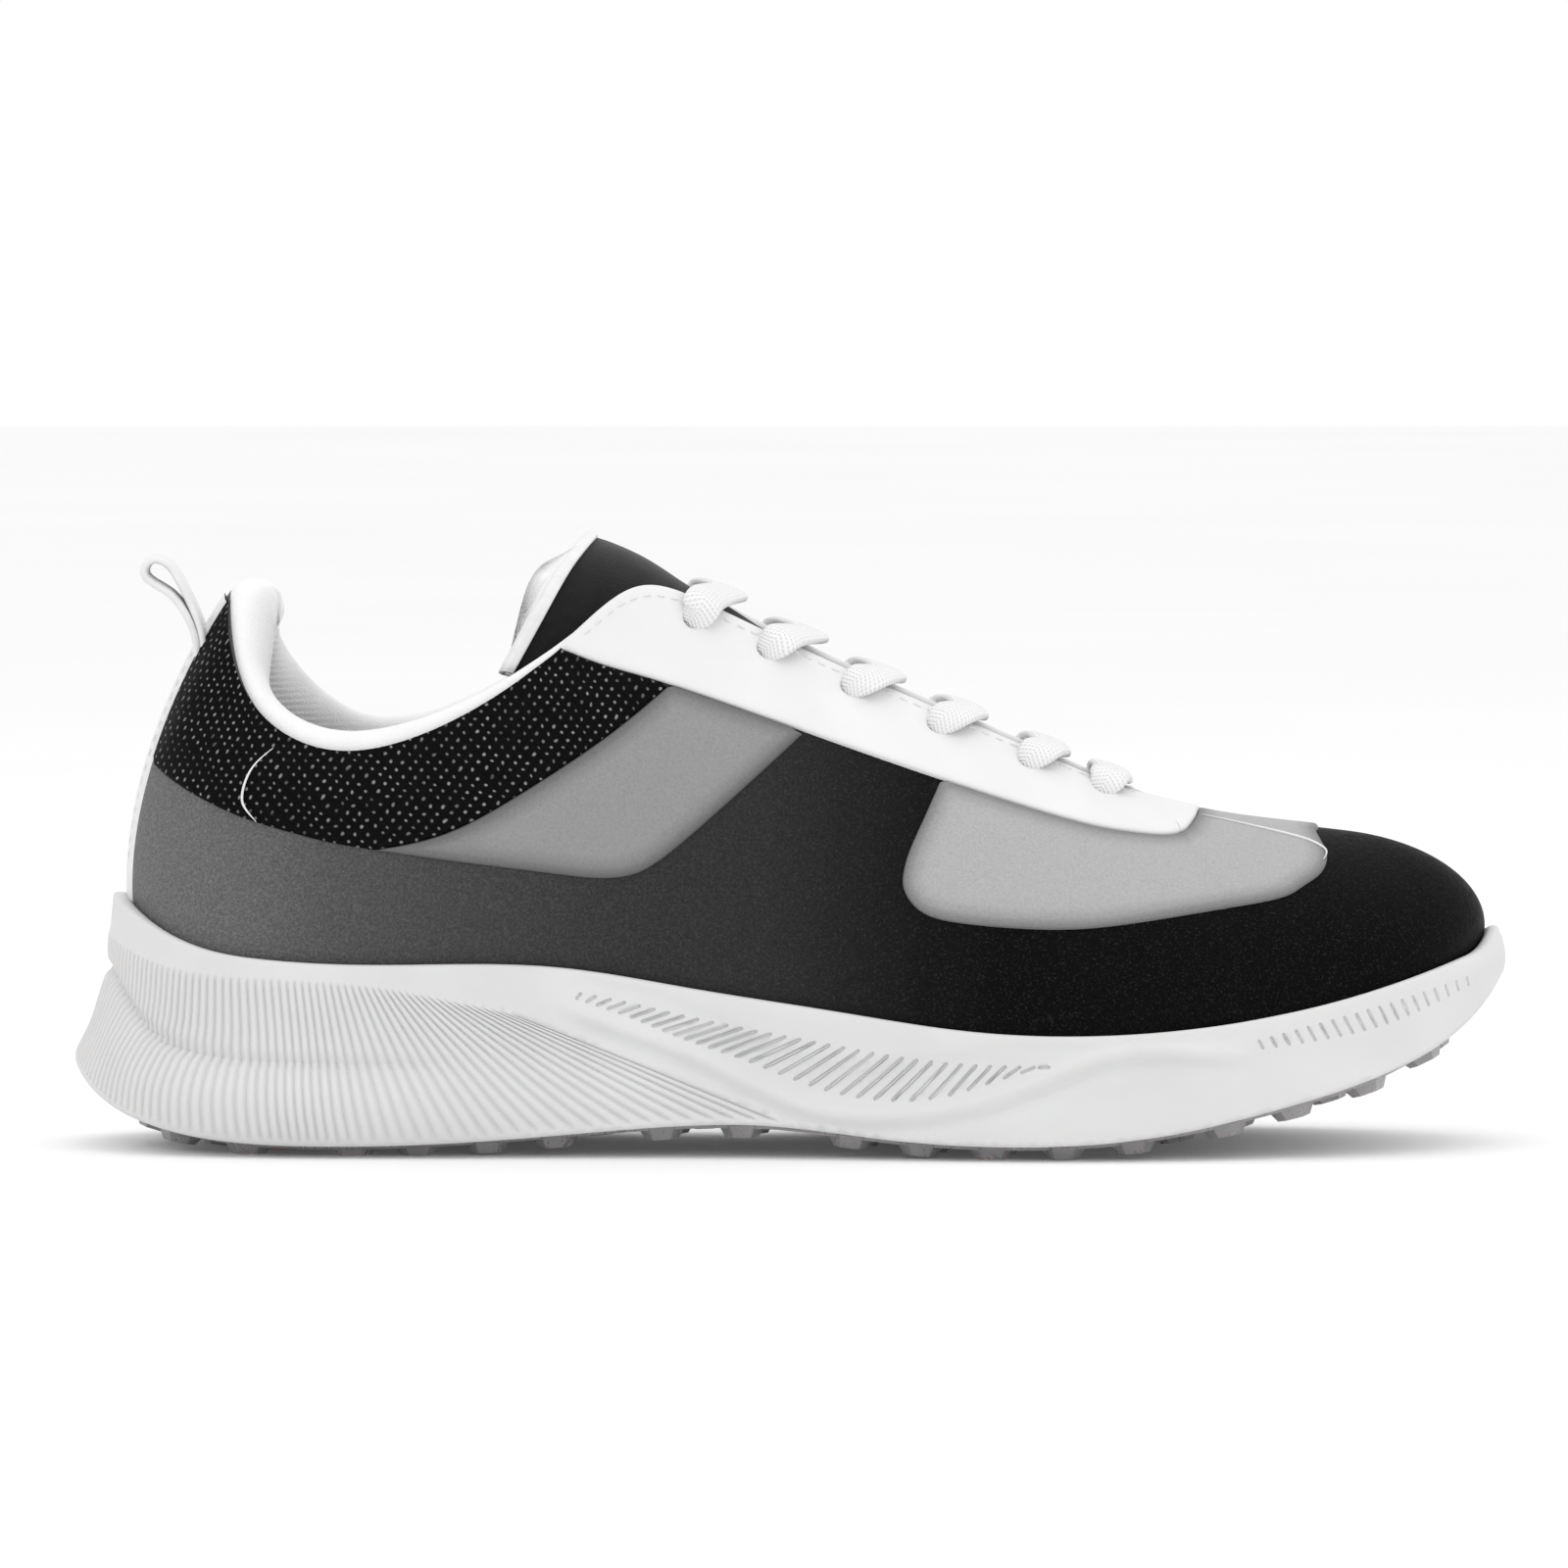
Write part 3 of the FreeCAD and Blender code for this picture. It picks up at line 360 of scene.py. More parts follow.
# ---- materials ------------------------------------------------------------------------------
class Nodes:
    """Short way to build a shader tree."""

    def __init__(self, name):
        self.material = bpy.data.materials.new(name)
        self.material.use_nodes = True
        self.tree = self.material.node_tree
        self.shader = self.tree.nodes["Principled BSDF"]
        self.place = self.add("ShaderNodeTexCoord").outputs["Object"]

    def add(self, kind, **settings):
        node = self.tree.nodes.new(kind)
        for key, value in settings.items():
            setattr(node, key, value)
        return node

    def feed(self, socket, value):
        if hasattr(value, "is_linked"):
            self.tree.links.new(value, socket)
        else:
            socket.default_value = value

    def noise(self, scale, detail=3.0, rough=0.5, place=None):
        node = self.add("ShaderNodeTexNoise")
        self.feed(node.inputs["Vector"], place or self.place)
        node.inputs["Scale"].default_value = scale
        node.inputs["Detail"].default_value = detail
        node.inputs["Roughness"].default_value = rough
        return node.outputs["Fac"]

    def cells(self, scale, feature="F1", place=None, random_share=1.0):
        node = self.add("ShaderNodeTexVoronoi", feature=feature)
        self.feed(node.inputs["Vector"], place or self.place)
        node.inputs["Scale"].default_value = scale
        node.inputs["Randomness"].default_value = random_share
        return node.outputs["Distance"]

    def math(self, operation, first, second=0.0):
        node = self.add("ShaderNodeMath", operation=operation)
        self.feed(node.inputs[0], first)
        self.feed(node.inputs[1], second)
        return node.outputs[0]

    def ramp(self, value, stops, easing="LINEAR"):
        """Colour ramp; a stop is (position, grey) or (position, (r, g, b))."""
        node = self.add("ShaderNodeValToRGB")
        node.color_ramp.interpolation = easing
        while len(node.color_ramp.elements) < len(stops):
            node.color_ramp.elements.new(0.5)
        for element, (position, colour) in zip(node.color_ramp.elements, stops):
            element.position = position
            rgb = (colour,) * 3 if isinstance(colour, float) else colour
            element.color = (*rgb, 1)
        self.feed(node.inputs["Fac"], value)
        return node.outputs["Color"]

    def patchy(self, scale, low, high, detail=3.0, rough=0.5, band=(0.3, 0.7)):
        """A grey or colour that wanders between two values."""
        return self.ramp(self.noise(scale, detail, rough), [(band[0], low), (band[1], high)])

    def plus(self, first, second):
        return self.math("ADD", first, second)

    def less(self, first, second):
        return self.math("SUBTRACT", first, second)

    def times(self, first, second):
        return self.math("MULTIPLY", first, second)

    def over(self, first, second):
        return self.math("DIVIDE", first, second)

    def mix(self, factor, first, second, blend="MIX"):
        node = self.add("ShaderNodeMix", data_type="RGBA", blend_type=blend)
        self.feed(node.inputs["Factor"], factor)
        self.feed(node.inputs[6], first)
        self.feed(node.inputs[7], second)
        return node.outputs[2]

    def bump(self, height, strength, distance, under=None):
        node = self.add("ShaderNodeBump")
        node.inputs["Strength"].default_value = strength
        node.inputs["Distance"].default_value = distance
        self.feed(node.inputs["Height"], height)
        if under is not None:
            self.feed(node.inputs["Normal"], under)
        return node.outputs["Normal"]

    def stored(self, name):
        return self.add("ShaderNodeAttribute", attribute_name=name).outputs["Fac"]

    def axis(self, name):
        """One coordinate of the place, in metres."""
        node = self.add("ShaderNodeSeparateXYZ")
        self.feed(node.inputs[0], self.place)
        return node.outputs[name]

    def finish(self, colour, rough, bump=None, **constants):
        self.feed(self.shader.inputs["Base Color"], colour)
        self.feed(self.shader.inputs["Roughness"], rough)
        if bump is not None:
            self.feed(self.shader.inputs["Normal"], bump)
        for key, value in constants.items():
            self.shader.inputs[key.replace("_", " ")].default_value = value
        return self.material


def grain(nodes, size=1100.0, depth=0.00012):
    """Fine leather grain: pebbles with soft creases."""
    pebbles = nodes.ramp(nodes.cells(size), [(0.0, 1.0), (0.55, 0.0)])
    flow = nodes.noise(420.0, 4.0, 0.6)
    height = nodes.mix(0.45, pebbles, flow)
    return nodes.bump(height, 0.5, depth)


def black_leather():
    """Grained leather that fades from mid grey at the heel to black at the toe."""
    nodes = Nodes("upper_black")
    share = nodes.over(nodes.plus(nodes.axis("X"), 0.140), 0.280)
    tone = nodes.ramp(share, [
        (0.0, 0.22), (0.10, 0.165), (0.165, 0.115), (0.25, 0.082), (0.37, 0.05), (0.485, 0.036),
        (0.545, 0.020), (0.60, 0.009), (0.66, 0.004), (1.0, 0.003)])
    flecks = nodes.ramp(nodes.noise(1900.0, 5.0, 0.7), [(0.32, 0.5), (0.5, 0.7), (0.64, 1.0)])
    bright = nodes.patchy(2100.0, 0.0, 0.016, rough=0.6, band=(0.54, 0.7))
    mottled = nodes.mix(1.0, nodes.mix(1.0, tone, flecks, "MULTIPLY"), bright, "ADD")
    rough = nodes.patchy(700.0, 0.42, 0.56)
    return nodes.finish(mottled, rough, grain(nodes), Specular_IOR_Level=0.035)


def grey_leather(name, light):
    """Light grey leather, with painted shade that darkens it towards the panel's edge, where the panel
    turns down.
    """
    nodes = Nodes(name)
    edge = nodes.stored("edge")
    # Painted shade: the grey falls to under half its value at the panel's free edge.
    tone = nodes.ramp(edge, [(0.0, light * 0.45), (0.25, light * 0.75), (0.7, light * 0.97),
                             (1.0, light)])
    flecks = nodes.patchy(1900.0, 0.84, 1.0, detail=4.0, rough=0.7, band=(0.35, 0.6))
    colour = nodes.mix(1.0, tone, flecks, "MULTIPLY")
    rough = nodes.patchy(600.0, 0.5, 0.62)
    return nodes.finish(colour, rough, grain(nodes, 1300.0, 0.0001), Specular_IOR_Level=0.35)


def white_leather():
    nodes = Nodes("white_leather")
    tone = nodes.patchy(60.0, 0.74, 0.78, band=(0.3, 0.75))
    rough = nodes.patchy(500.0, 0.44, 0.54)
    return nodes.finish(tone, rough, grain(nodes, 1500.0, 0.00005), Specular_IOR_Level=0.35)


DOT_PITCH = 2.7
DOT_ROW = 1.5
DOT_DRIFT = 2.0


def dotted_textile():
    """Black knit with small grey-white dots in staggered rows."""
    nodes = Nodes("dotted_textile")
    ground = nodes.patchy(1500.0, 0.0012, 0.004, detail=4.0, band=(0.3, 0.75))
    drift = nodes.times(nodes.less(nodes.noise(260.0, 1.0), 0.5), DOT_DRIFT)
    across = nodes.over(nodes.plus(nodes.stored("round_foot"), drift), DOT_PITCH)
    rows = nodes.over(nodes.plus(nodes.stored("up_foot"), drift), DOT_ROW)
    stagger = nodes.times(nodes.math("FLOOR", rows), 0.5)
    side_way = nodes.less(nodes.math("FRACT", nodes.plus(across, stagger)), 0.5)
    up_way = nodes.less(nodes.math("FRACT", rows), 0.5)
    side_mm = nodes.times(side_way, DOT_PITCH)
    up_mm = nodes.times(up_way, DOT_ROW)
    square = nodes.plus(nodes.times(side_mm, side_mm),
                        nodes.times(up_mm, up_mm))
    dot = nodes.ramp(nodes.math("SQRT", square), [(0.2, 1.0), (0.42, 0.0)])
    speck = nodes.patchy(200.0, 0.07, 0.27, detail=2.0, band=(0.35, 0.65))
    colour = nodes.mix(dot, ground, speck)
    knit = nodes.noise(2200.0, 2.0)
    height = nodes.plus(nodes.times(dot, 0.8), nodes.times(knit, 0.3))
    rough = nodes.patchy(700.0, 0.46, 0.6)
    return nodes.finish(colour, rough, nodes.bump(height, 0.5, 0.0002), Specular_IOR_Level=0.05)


def knit(name, light, dark, depth=0.0003, rib=4800.0):
    """Fine knit for linings, with level ribs where the piece says that it is ribbed, and painted shade
    along the ribs.
    """
    nodes = Nodes(name)
    level = nodes.math("SINE", nodes.times(nodes.axis("Z"), rib))
    ribs = nodes.times(level, nodes.stored("ribbed"))
    fuzz = nodes.noise(2600.0, 2.0)
    height = nodes.plus(nodes.times(ribs, 0.7), fuzz)
    # Painted shade: the knit is darkened by up to a seventh along one half of each rib's wave.
    rib_shade = nodes.ramp(ribs, [(0.0, 1.0), (0.9, 0.86)])
    mottle = nodes.mix(nodes.noise(180.0, 3.0), (dark,) * 3 + (1,), (light,) * 3 + (1,))
    tone = nodes.mix(1.0, mottle, rib_shade, "MULTIPLY")
    rough = nodes.patchy(400.0, 0.78, 0.9)
    return nodes.finish(tone, rough, nodes.bump(height, 0.5, depth), Sheen_Weight=0.25,
                        Specular_IOR_Level=0.2)


def webbing():
    """White grosgrain: fine cross ribs."""
    nodes = Nodes("white_webbing")
    weave = nodes.add("ShaderNodeTexWave", wave_type="BANDS", bands_direction="Y")
    nodes.feed(weave.inputs["Vector"], nodes.place)
    weave.inputs["Scale"].default_value = 420.0
    weave.inputs["Distortion"].default_value = 0.4
    height = nodes.mix(0.3, weave.outputs["Fac"], nodes.noise(2400.0))
    tone = nodes.patchy(300.0, 0.74, 0.82, band=(0.3, 0.75))
    rough = nodes.patchy(500.0, 0.68, 0.8)
    return nodes.finish(tone, rough, nodes.bump(height, 0.5, 0.0002), Sheen_Weight=0.2)


def lace_weave():
    """Flat braid; the stored numbers run along and across the lace."""
    nodes = Nodes("white_lace")
    along = nodes.stored("along")
    across = nodes.stored("across")
    slant = nodes.math("ABSOLUTE", nodes.less(across, 0.5))
    phase = nodes.plus(along, nodes.times(slant, 3.0))
    strands = nodes.math("SINE", nodes.times(phase, 9.0))
    rows = nodes.math("SINE", nodes.times(across, 62.0))
    height = nodes.plus(nodes.times(strands, 0.6), nodes.times(rows, 0.3))
    # Painted shade: the white is darkened where the braid's strands and rows sink.
    crevice_shade = nodes.times(nodes.plus(height, 1.1), 0.5)
    tone = nodes.ramp(crevice_shade, [(0.1, 0.66), (0.6, 0.86)])
    rough = nodes.patchy(900.0, 0.62, 0.78)
    return nodes.finish(tone, rough, nodes.bump(height, 0.6, 0.00022), Sheen_Weight=0.15)


def moulded_foam():
    """White moulded foam rubber with a faint skin."""
    nodes = Nodes("midsole_foam")
    tone = nodes.patchy(45.0, 0.66, 0.70, band=(0.3, 0.75))
    rough = nodes.patchy(300.0, 0.48, 0.6, detail=4.0)
    skin = nodes.bump(nodes.noise(1800.0, 3.0), 0.25, 0.00006)
    return nodes.finish(tone, rough, skin, Specular_IOR_Level=0.35, Subsurface_Weight=0.05,
                        Subsurface_Scale=0.004)


def lug_rubber():
    """Milky translucent outsole."""
    nodes = Nodes("outsole_rubber")
    tone = nodes.patchy(120.0, (0.44, 0.43, 0.44), (0.55, 0.54, 0.55), detail=2.0, band=(0.3, 0.75))
    rough = nodes.patchy(400.0, 0.24, 0.36)
    skin = nodes.bump(nodes.noise(900.0, 3.0), 0.2, 0.00008)
    return nodes.finish(tone, rough, skin, Transmission_Weight=0.35, IOR=1.47,
                        Subsurface_Weight=0.2, Subsurface_Scale=0.003)


def board_fibre(name, light, dark):
    nodes = Nodes(name)
    tone = nodes.mix(nodes.noise(700.0, 5.0), (*dark, 1), (*light, 1))
    rough = nodes.patchy(900.0, 0.8, 0.92)
    return nodes.finish(tone, rough, nodes.bump(nodes.noise(2200.0, 3.0), 0.4, 0.0002))


def thread():
    """Sewing thread, and the thin white raised lines along the collar and over the toe."""
    nodes = Nodes("thread")
    tone = nodes.patchy(2500.0, 0.7, 0.86, band=(0.3, 0.75))
    rough = nodes.patchy(900.0, 0.5, 0.62)
    return nodes.finish(tone, rough, nodes.bump(nodes.noise(5000.0), 0.3, 0.00005))


# ---- overlay panels -------------------------------------------------------------------------
def find_uv(side, x, z, start=None):
    """Station and height at which the side view of the upper passes (x, z)."""
    if start is None:
        start = min(((u, v) for u in steps(0.2, 13.8, 50) for v in steps(0.25, 1, 20)),
                    key=lambda p: math.hypot(rib_point(side * p[0], p[1]).x - x,
                                             rib_point(side * p[0], p[1]).z - z))
    u, v = start
    e = 0.002
    for _ in range(14):
        here = rib_point(side * u, v)
        along = (rib_point(side * (u + e), v) - here) / e
        up = (rib_point(side * u, v) - rib_point(side * u, v - e)) / e
        miss_x = x - here.x
        miss_z = z - here.z
        area = along.x * up.z - up.x * along.z
        if abs(area) < 1e-6:
            break
        du = (miss_x * up.z - up.x * miss_z) / area
        dv = (along.x * miss_z - miss_x * along.z) / area
        u = min(max(u + min(max(du, -0.4), 0.4), 0.05), 13.98)
        v = min(max(v + min(max(dv, -0.1), 0.1), 0.05), 1)
    return u, v


def run_uv(side, run, first=0.0, last=1.0, gap=0.8):
    """A side outline run as stations and heights, from a first to a last share of its length."""
    track = Track([(i,) + p for i, p in enumerate(run)])
    end = len(run) - 1
    length = sum(math.dist(a, b) for a, b in zip(run, run[1:])) * (last - first)
    found = []
    place = None
    for share in steps(first, last, max(2, int(length / gap))):
        x, z = track.at(share * end)
        place = find_uv(side, x, z, place)
        found.append(place)
    return found


def ridge_station(x):
    """Station at which the line over the toes passes x."""
    return last_true(THROAT_END, TOE, SEARCH_ROUNDS, lambda u: RIDGE.at(u)[0] < x)


def edge_to_ridge(side, run, tip):
    """An edge as stations and heights that ends square to the line over the toes, at x = tip."""
    end = (ridge_station(tip), 1.0)
    late = 1 - 3 / (len(run) - 1)
    found = run_uv(side, run, 0.0, late) + run_uv(side, run, late, 1.0, gap=0.15)[1:]
    kept = []
    for u, v in found:
        here = rib_point(side * u, v)
        if v > 0.985 and u > THROAT_END:
            break
        if kept and (here - rib_point(side * kept[-1][0], kept[-1][1])).length < 0.6:
            continue
        kept.append((u, v))
    return kept + line_uv(kept[-1], end, 0.03, 0.006) + [end]


def line_uv(first, last, gap_u=0.065, gap_v=0.013):
    """Straight line between two (station, height) points, both ends left out."""
    count = max(2, int(max(abs(last[0] - first[0]) / gap_u, abs(last[1] - first[1]) / gap_v)))
    return [(first[0] + (last[0] - first[0]) * i / count,
             first[1] + (last[1] - first[1]) * i / count) for i in range(1, count)]


def girth_track():
    """Distance round the upper at three quarters of its height, by station."""
    rows = []
    travelled = 0.0
    before = None
    for u in steps(-TOE, TOE, 140):
        here = rib_point(u, 0.75)
        if before is not None:
            travelled += (here - before).length
        before = here
        rows.append((u, travelled))
    return Track(rows)


GIRTH = girth_track()
# A panel is cut out on a flat sheet: millimetres for one station and for the full height.
U_SCALE = 13.0
V_SCALE = 62.0
HOLE_SIDES = 24
HOLE_RINGS = (1, 1.06, 1.16, 1.32, 1.6)
HOLE_CLEAR = 0.93
EDGE_INSETS = (0.12, 0.3, 0.6, 1.1, 1.9)
EDGE_CLEAR = 2.3
LOOP_CLEAR = 0.7
BELOW_TOP = 0.9985
ON_EDGE = 0.05
EDGE_SUNK = -0.3


def inside_loop(point, loop):
    x, y = point
    inside = False
    for (x0, y0), (x1, y1) in zip(loop, loop[1:] + loop[:1]):
        if (y0 > y) != (y1 > y) and x < (x1 - x0) * (y - y0) / (y1 - y0) + x0:
            inside = not inside
    return inside


def panel(name, side, loop, thick, is_free, holes=(), spacing=1.7, round_edge=1.1, swell=0.0):
    """A sheet laid on the upper inside a loop of (station, height) points, with rounded edges."""
    count = len(loop)
    flat = [(u * U_SCALE, v * V_SCALE) for u, v in loop]
    solid = [rib_point(side * u, v) for u, v in loop]
    turn = 1 if sum(a[0] * b[1] - b[0] * a[1] for a, b in zip(flat, flat[1:] + flat[:1])) > 0 else -1
    free = [is_free(u, v) for u, v in loop]
    edge_tree = kdtree.KDTree(sum(free) + HOLE_SIDES * len(holes))
    number = 0
    for point, counts in zip(solid, free):
        if counts:
            edge_tree.insert(point, number)
            number += 1
    rings = []
    for u, v, radius in holes:
        centre = rib_point(side * u, v)
        along = (rib_point(side * u + NORMAL_STEP, v) - centre) / NORMAL_STEP
        up = (rib_point(side * u, v) - rib_point(side * u, v - NORMAL_STEP)) / NORMAL_STEP
        for scale in HOLE_RINGS:
            ring = []
            for k in range(HOLE_SIDES):
                angle = 2 * math.pi * k / HOLE_SIDES
                du = side * radius * scale * math.cos(angle) / along.length
                dv = radius * scale * math.sin(angle) / up.length
                ring.append((u + du, v + dv))
            if scale == 1:
                for p in ring:
                    edge_tree.insert(rib_point(side * p[0], p[1]), number)
                    number += 1
            rings.append(ring)
    edge_tree.balance()
    points = list(loop)
    edges = [(i, (i + 1) % count) for i in range(count)]
    for index, ring in enumerate(rings):
        start = len(points)
        ring = [(u, v) for u, v in ring if inside_loop((u * U_SCALE, v * V_SCALE), flat)]
        points += ring
        if index % len(HOLE_RINGS) == 0:
            edges += [(start + k, start + (k + 1) % len(ring)) for k in range(len(ring))]
    for inset in EDGE_INSETS:
        for i in range(count):
            ahead = Vector(flat[(i + 1) % count]) - Vector(flat[i - 1])
            if ahead.length < 1e-6 or not free[i]:
                continue
            inward = Vector((-ahead.y, ahead.x)) * turn / ahead.length
            p = Vector(flat[i]) + inward * inset
            candidate = (p.x / U_SCALE, p.y / V_SCALE)
            if not inside_loop((p.x, p.y), flat):
                continue
            place = rib_point(side * candidate[0], min(candidate[1], 1))
            if edge_tree.find(place)[2] > inset * 0.7:
                points.append(candidate)
    low_u = min(p[0] for p in loop)
    high_u = max(p[0] for p in loop)
    low_v = min(p[1] for p in loop)
    u_step = spacing / U_SCALE
    v_step = spacing / V_SCALE
    rows = int((1 - low_v) / v_step) + 1
    for i in range(int((high_u - low_u) / u_step) + 2):
        for j in range(rows):
            u = low_u + u_step * (i + 0.5 * (j % 2))
            v = low_v + v_step * j
            if v >= BELOW_TOP or not inside_loop((u * U_SCALE, v * V_SCALE), flat):
                continue
            place = rib_point(side * u, v)
            if edge_tree.find(place)[2] <= EDGE_CLEAR:
                continue
            if min((place - q).length for q in solid) > LOOP_CLEAR:
                points.append((u, v))
    coords = [Vector((u * U_SCALE, v * V_SCALE)) for u, v in points]
    result = delaunay_2d_cdt(coords, edges, [], 1, 1e-5)
    places = []
    marks = []
    for c in result[0]:
        u = c.x / U_SCALE
        v = min(c.y / V_SCALE, 1)
        base = rib_point(side * u, v)
        distance = edge_tree.find(base)[2]
        share = min(distance / round_edge, 1)
        height = thick * math.sqrt(max(1 - (1 - share) ** 2, 0))
        if distance < ON_EDGE:
            height = EDGE_SUNK
        height += swell * smooth(1, 9, distance)
        places.append(base + normal(side * u, v) * height)
        marks.append((distance, side * u, v))
    faces = []
    for face in result[2]:
        centre = sum((result[0][i] for i in face), Vector((0, 0))) / len(face)
        u = centre.x / U_SCALE
        v = centre.y / V_SCALE
        here = rib_point(side * u, min(v, 1))
        if any((here - rib_point(side * hu, hv)).length < r * HOLE_CLEAR for hu, hv, r in holes):
            continue
        faces.append(tuple(face) if side > 0 else tuple(face)[::-1])
    piece = new_mesh(name, places, faces)
    # How far in from the free edge each point lies; the grey leather reads it for its painted shade at
    # the edges.
    numbers(piece, "edge", [smooth(0, 7, m[0]) for m in marks])
    numbers(piece, "round_foot", [GIRTH.at(m[1])[0] for m in marks])
    numbers(piece, "up_foot", [p.z for p in places])
    return piece


def paint(piece, material):
    piece.data.materials.clear()
    piece.data.materials.append(material)
    return piece


EYELETS = [(6.8, 0.93), (7.5, 0.935), (8.1, 0.93), (8.65, 0.92), (9.25, 0.92), (9.9, 0.93)]
EYELET_RADIUS = 1.7


def under_stay(points, stay):
    """The points of an edge that lie below the eyestay's edge."""
    kept = []
    for u, v in points:
        nearest = min(stay, key=lambda p: abs(p[0] - u))
        if v < nearest[1] - 0.004 or not stay[0][0] < u < stay[-1][0]:
            kept.append((u, v))
    return kept


def throat_lip(side, stations):
    """The eyestay's leather turned over the throat's edge and under it."""
    rows = []
    for u in stations:
        top = rib_point(side * u, 1)
        out = normal(side * u, 1)
        up = (top - rib_point(side * u, 0.98)).normalized()
        rows.append([top + out * 1.1, top + out * 0.95 + up * 0.55, top + out * 0.4 + up * 1.0,
                     top - out * 0.5 + up * 1.15, top - out * 1.4 + up * 0.9,
                     top - out * 2.0 + up * 0.2, layer_point(side * u, 0.97, 2.1),
                     layer_point(side * u, 0.9, 2.1)])
    return grid_mesh("lip", rows if side < 0 else [row[::-1] for row in rows])


def make_eyestay(side):
    edge = edge_to_ridge(side, EYESTAY_EDGE, STAY_TIP)
    start = (edge[0][0], 1.0)
    end = edge[-1]
    top = line_uv(end, (THROAT_END, 1)) + [(THROAT_END, 1.0)]
    top += line_uv((THROAT_END, 1), start)
    loop = edge + top + [start]
    holes = [(u, v, EYELET_RADIUS) for u, v in EYELETS]
    sheet = panel("eyestay_half", side, loop, 1.1, lambda u, v: v < 0.999, holes)
    lip = throat_lip(side, [u for u, v in loop if v >= 1 and u <= THROAT_END])
    return joined_keep("eyestay_half", [sheet, lip])


def make_vamp(side):
    stay = edge_to_ridge(side, EYESTAY_EDGE, STAY_TIP)
    edge = under_stay(edge_to_ridge(side, VAMP_EDGE, VAMP_TIP), stay)
    first = edge[0]
    stay = [p for p in stay if p[0] > first[0] + 0.02]
    loop = edge + line_uv(edge[-1], stay[-1]) + stay[::-1]
    return panel("vamp_half", side, loop, 0.8, lambda u, v: v < 0.999)


def make_midfoot(side):
    stay = edge_to_ridge(side, EYESTAY_EDGE, STAY_TIP)
    slope = under_stay(run_uv(side, COLLAR_SLOPE), stay)
    lower = under_stay(run_uv(side, MIDFOOT_EDGE), stay)
    stay = [p for p in stay if slope[-1][0] + 0.02 < p[0] < lower[-1][0] - 0.02]
    loop = slope + stay + lower[:0:-1]
    return panel("midfoot_leather_%s" % side_name(side), side, loop, 0.8, lambda u, v: True)


def make_collar_panel(side):
    stay = edge_to_ridge(side, EYESTAY_EDGE, STAY_TIP)
    lower = [p for p in run_uv(side, COLLAR_EDGE) if p[0] > STRIP_STATION + 0.03]
    slope = under_stay(run_uv(side, COLLAR_SLOPE), stay)[1:]
    stay = [p for p in stay if p[0] < slope[-1][0] - 0.02]
    start = (stay[0][0], 1.0)
    heel = (STRIP_STATION, 1.0)
    loop = lower + slope + stay[::-1] + [start] + line_uv(start, heel) + [heel]
    loop += line_uv(heel, (STRIP_STATION, lower[0][1]))
    return panel("collar_textile_%s" % side_name(side), side, loop, 0.7,
                 lambda u, v: v < 0.997, swell=1.0)


STRIP_STATION = 0.36
STRIP_THICK = 0.7


def side_name(side):
    return "lateral" if side > 0 else "medial"


# ---- upper ----------------------------------------------------------------------------------
UPPER_THICK = 1.4
COLUMNS_PER_STATION = 9
OUTER_ROWS = 56
INNER_ROWS = 20


def make_upper():
    """The whole outer upper, turned over its top edge and down the inside."""
    stations = steps(-TOE, TOE, 2 * TOE * COLUMNS_PER_STATION)[:-1]
    outer = steps(0.03, 1, OUTER_ROWS)
    inner = steps(1, 0.3, INNER_ROWS)
    grid = []
    for u in stations:
        column = [rib_point(u, v) for v in outer]
        column.append(layer_point(u, 1, UPPER_THICK * 0.5) + (column[-1] - column[-2]) * 0.2)
        column += [layer_point(u, v, UPPER_THICK) for v in inner]
        if abs(u) > THROAT_END:
            column[len(outer)] = layer_point(u, 1, UPPER_THICK * 0.5)
        grid.append(column)
    return weld(grid_mesh("upper", grid, close_rows=True))


def make_heel_strip():
    rows = []
    for v in steps(0.2, 0.985, 90):
        row = []
        for share in steps(-1, 1, 14):
            u = share * (STRIP_STATION - 0.015)
            height = STRIP_THICK * math.sqrt(max(1 - abs(share) ** 8, 0)) - 0.25 * (abs(share) > 0.99)
            row.append(layer_point(u, v, -height))
        rows.append(row)
    return grid_mesh("heel_strip_webbing", rows[::-1])


# ---- collar ---------------------------------------------------------------------------------
FOAM_THICK = 4.6
ROLL_HEIGHT = 4.2
ROLL_EXTRA = Track([(-8, -1), (-5, -1), (-4, -1), (-3, 0.8), (-2.4, 4.2), (-2, 5.4), (-1.4, 5),
                    (-1, 4.6), (-0.5, 3.2), (0, 0.8), (0.5, 2.6), (1, 3.4), (1.8, 2.4), (2.6, 1.6),
                    (8, 1.6)])
HEEL_FILL = Track([(0, 4.6), (0.5, 5.4), (1, 6), (1.6, 5.4), (2.2, 2.6), (2.9, 0.2), (3.5, 0), (8, 0)])
COLLAR_END = 5.9


def fullness(u):
    """1 round the heel, falling away where the collar meets the eyestay."""
    return 1 - 0.55 * smooth(3.2, 5.2, abs(u))


def collar_deep(u):
    """Depth of the padded roll: fullest at the back of the heel."""
    return 2 * UPPER_THICK + FOAM_THICK * fullness(u) + HEEL_FILL.at(abs(u))[0]


def lining_depth(u, v):
    thin = UPPER_THICK + 1.15
    deep = collar_deep(u)
    at_heel = 1 - smooth(1.2, 3.2, abs(u))
    return thin + (deep - thin) * smooth(0.45 - 0.35 * at_heel, 0.9 - 0.3 * at_heel, v)


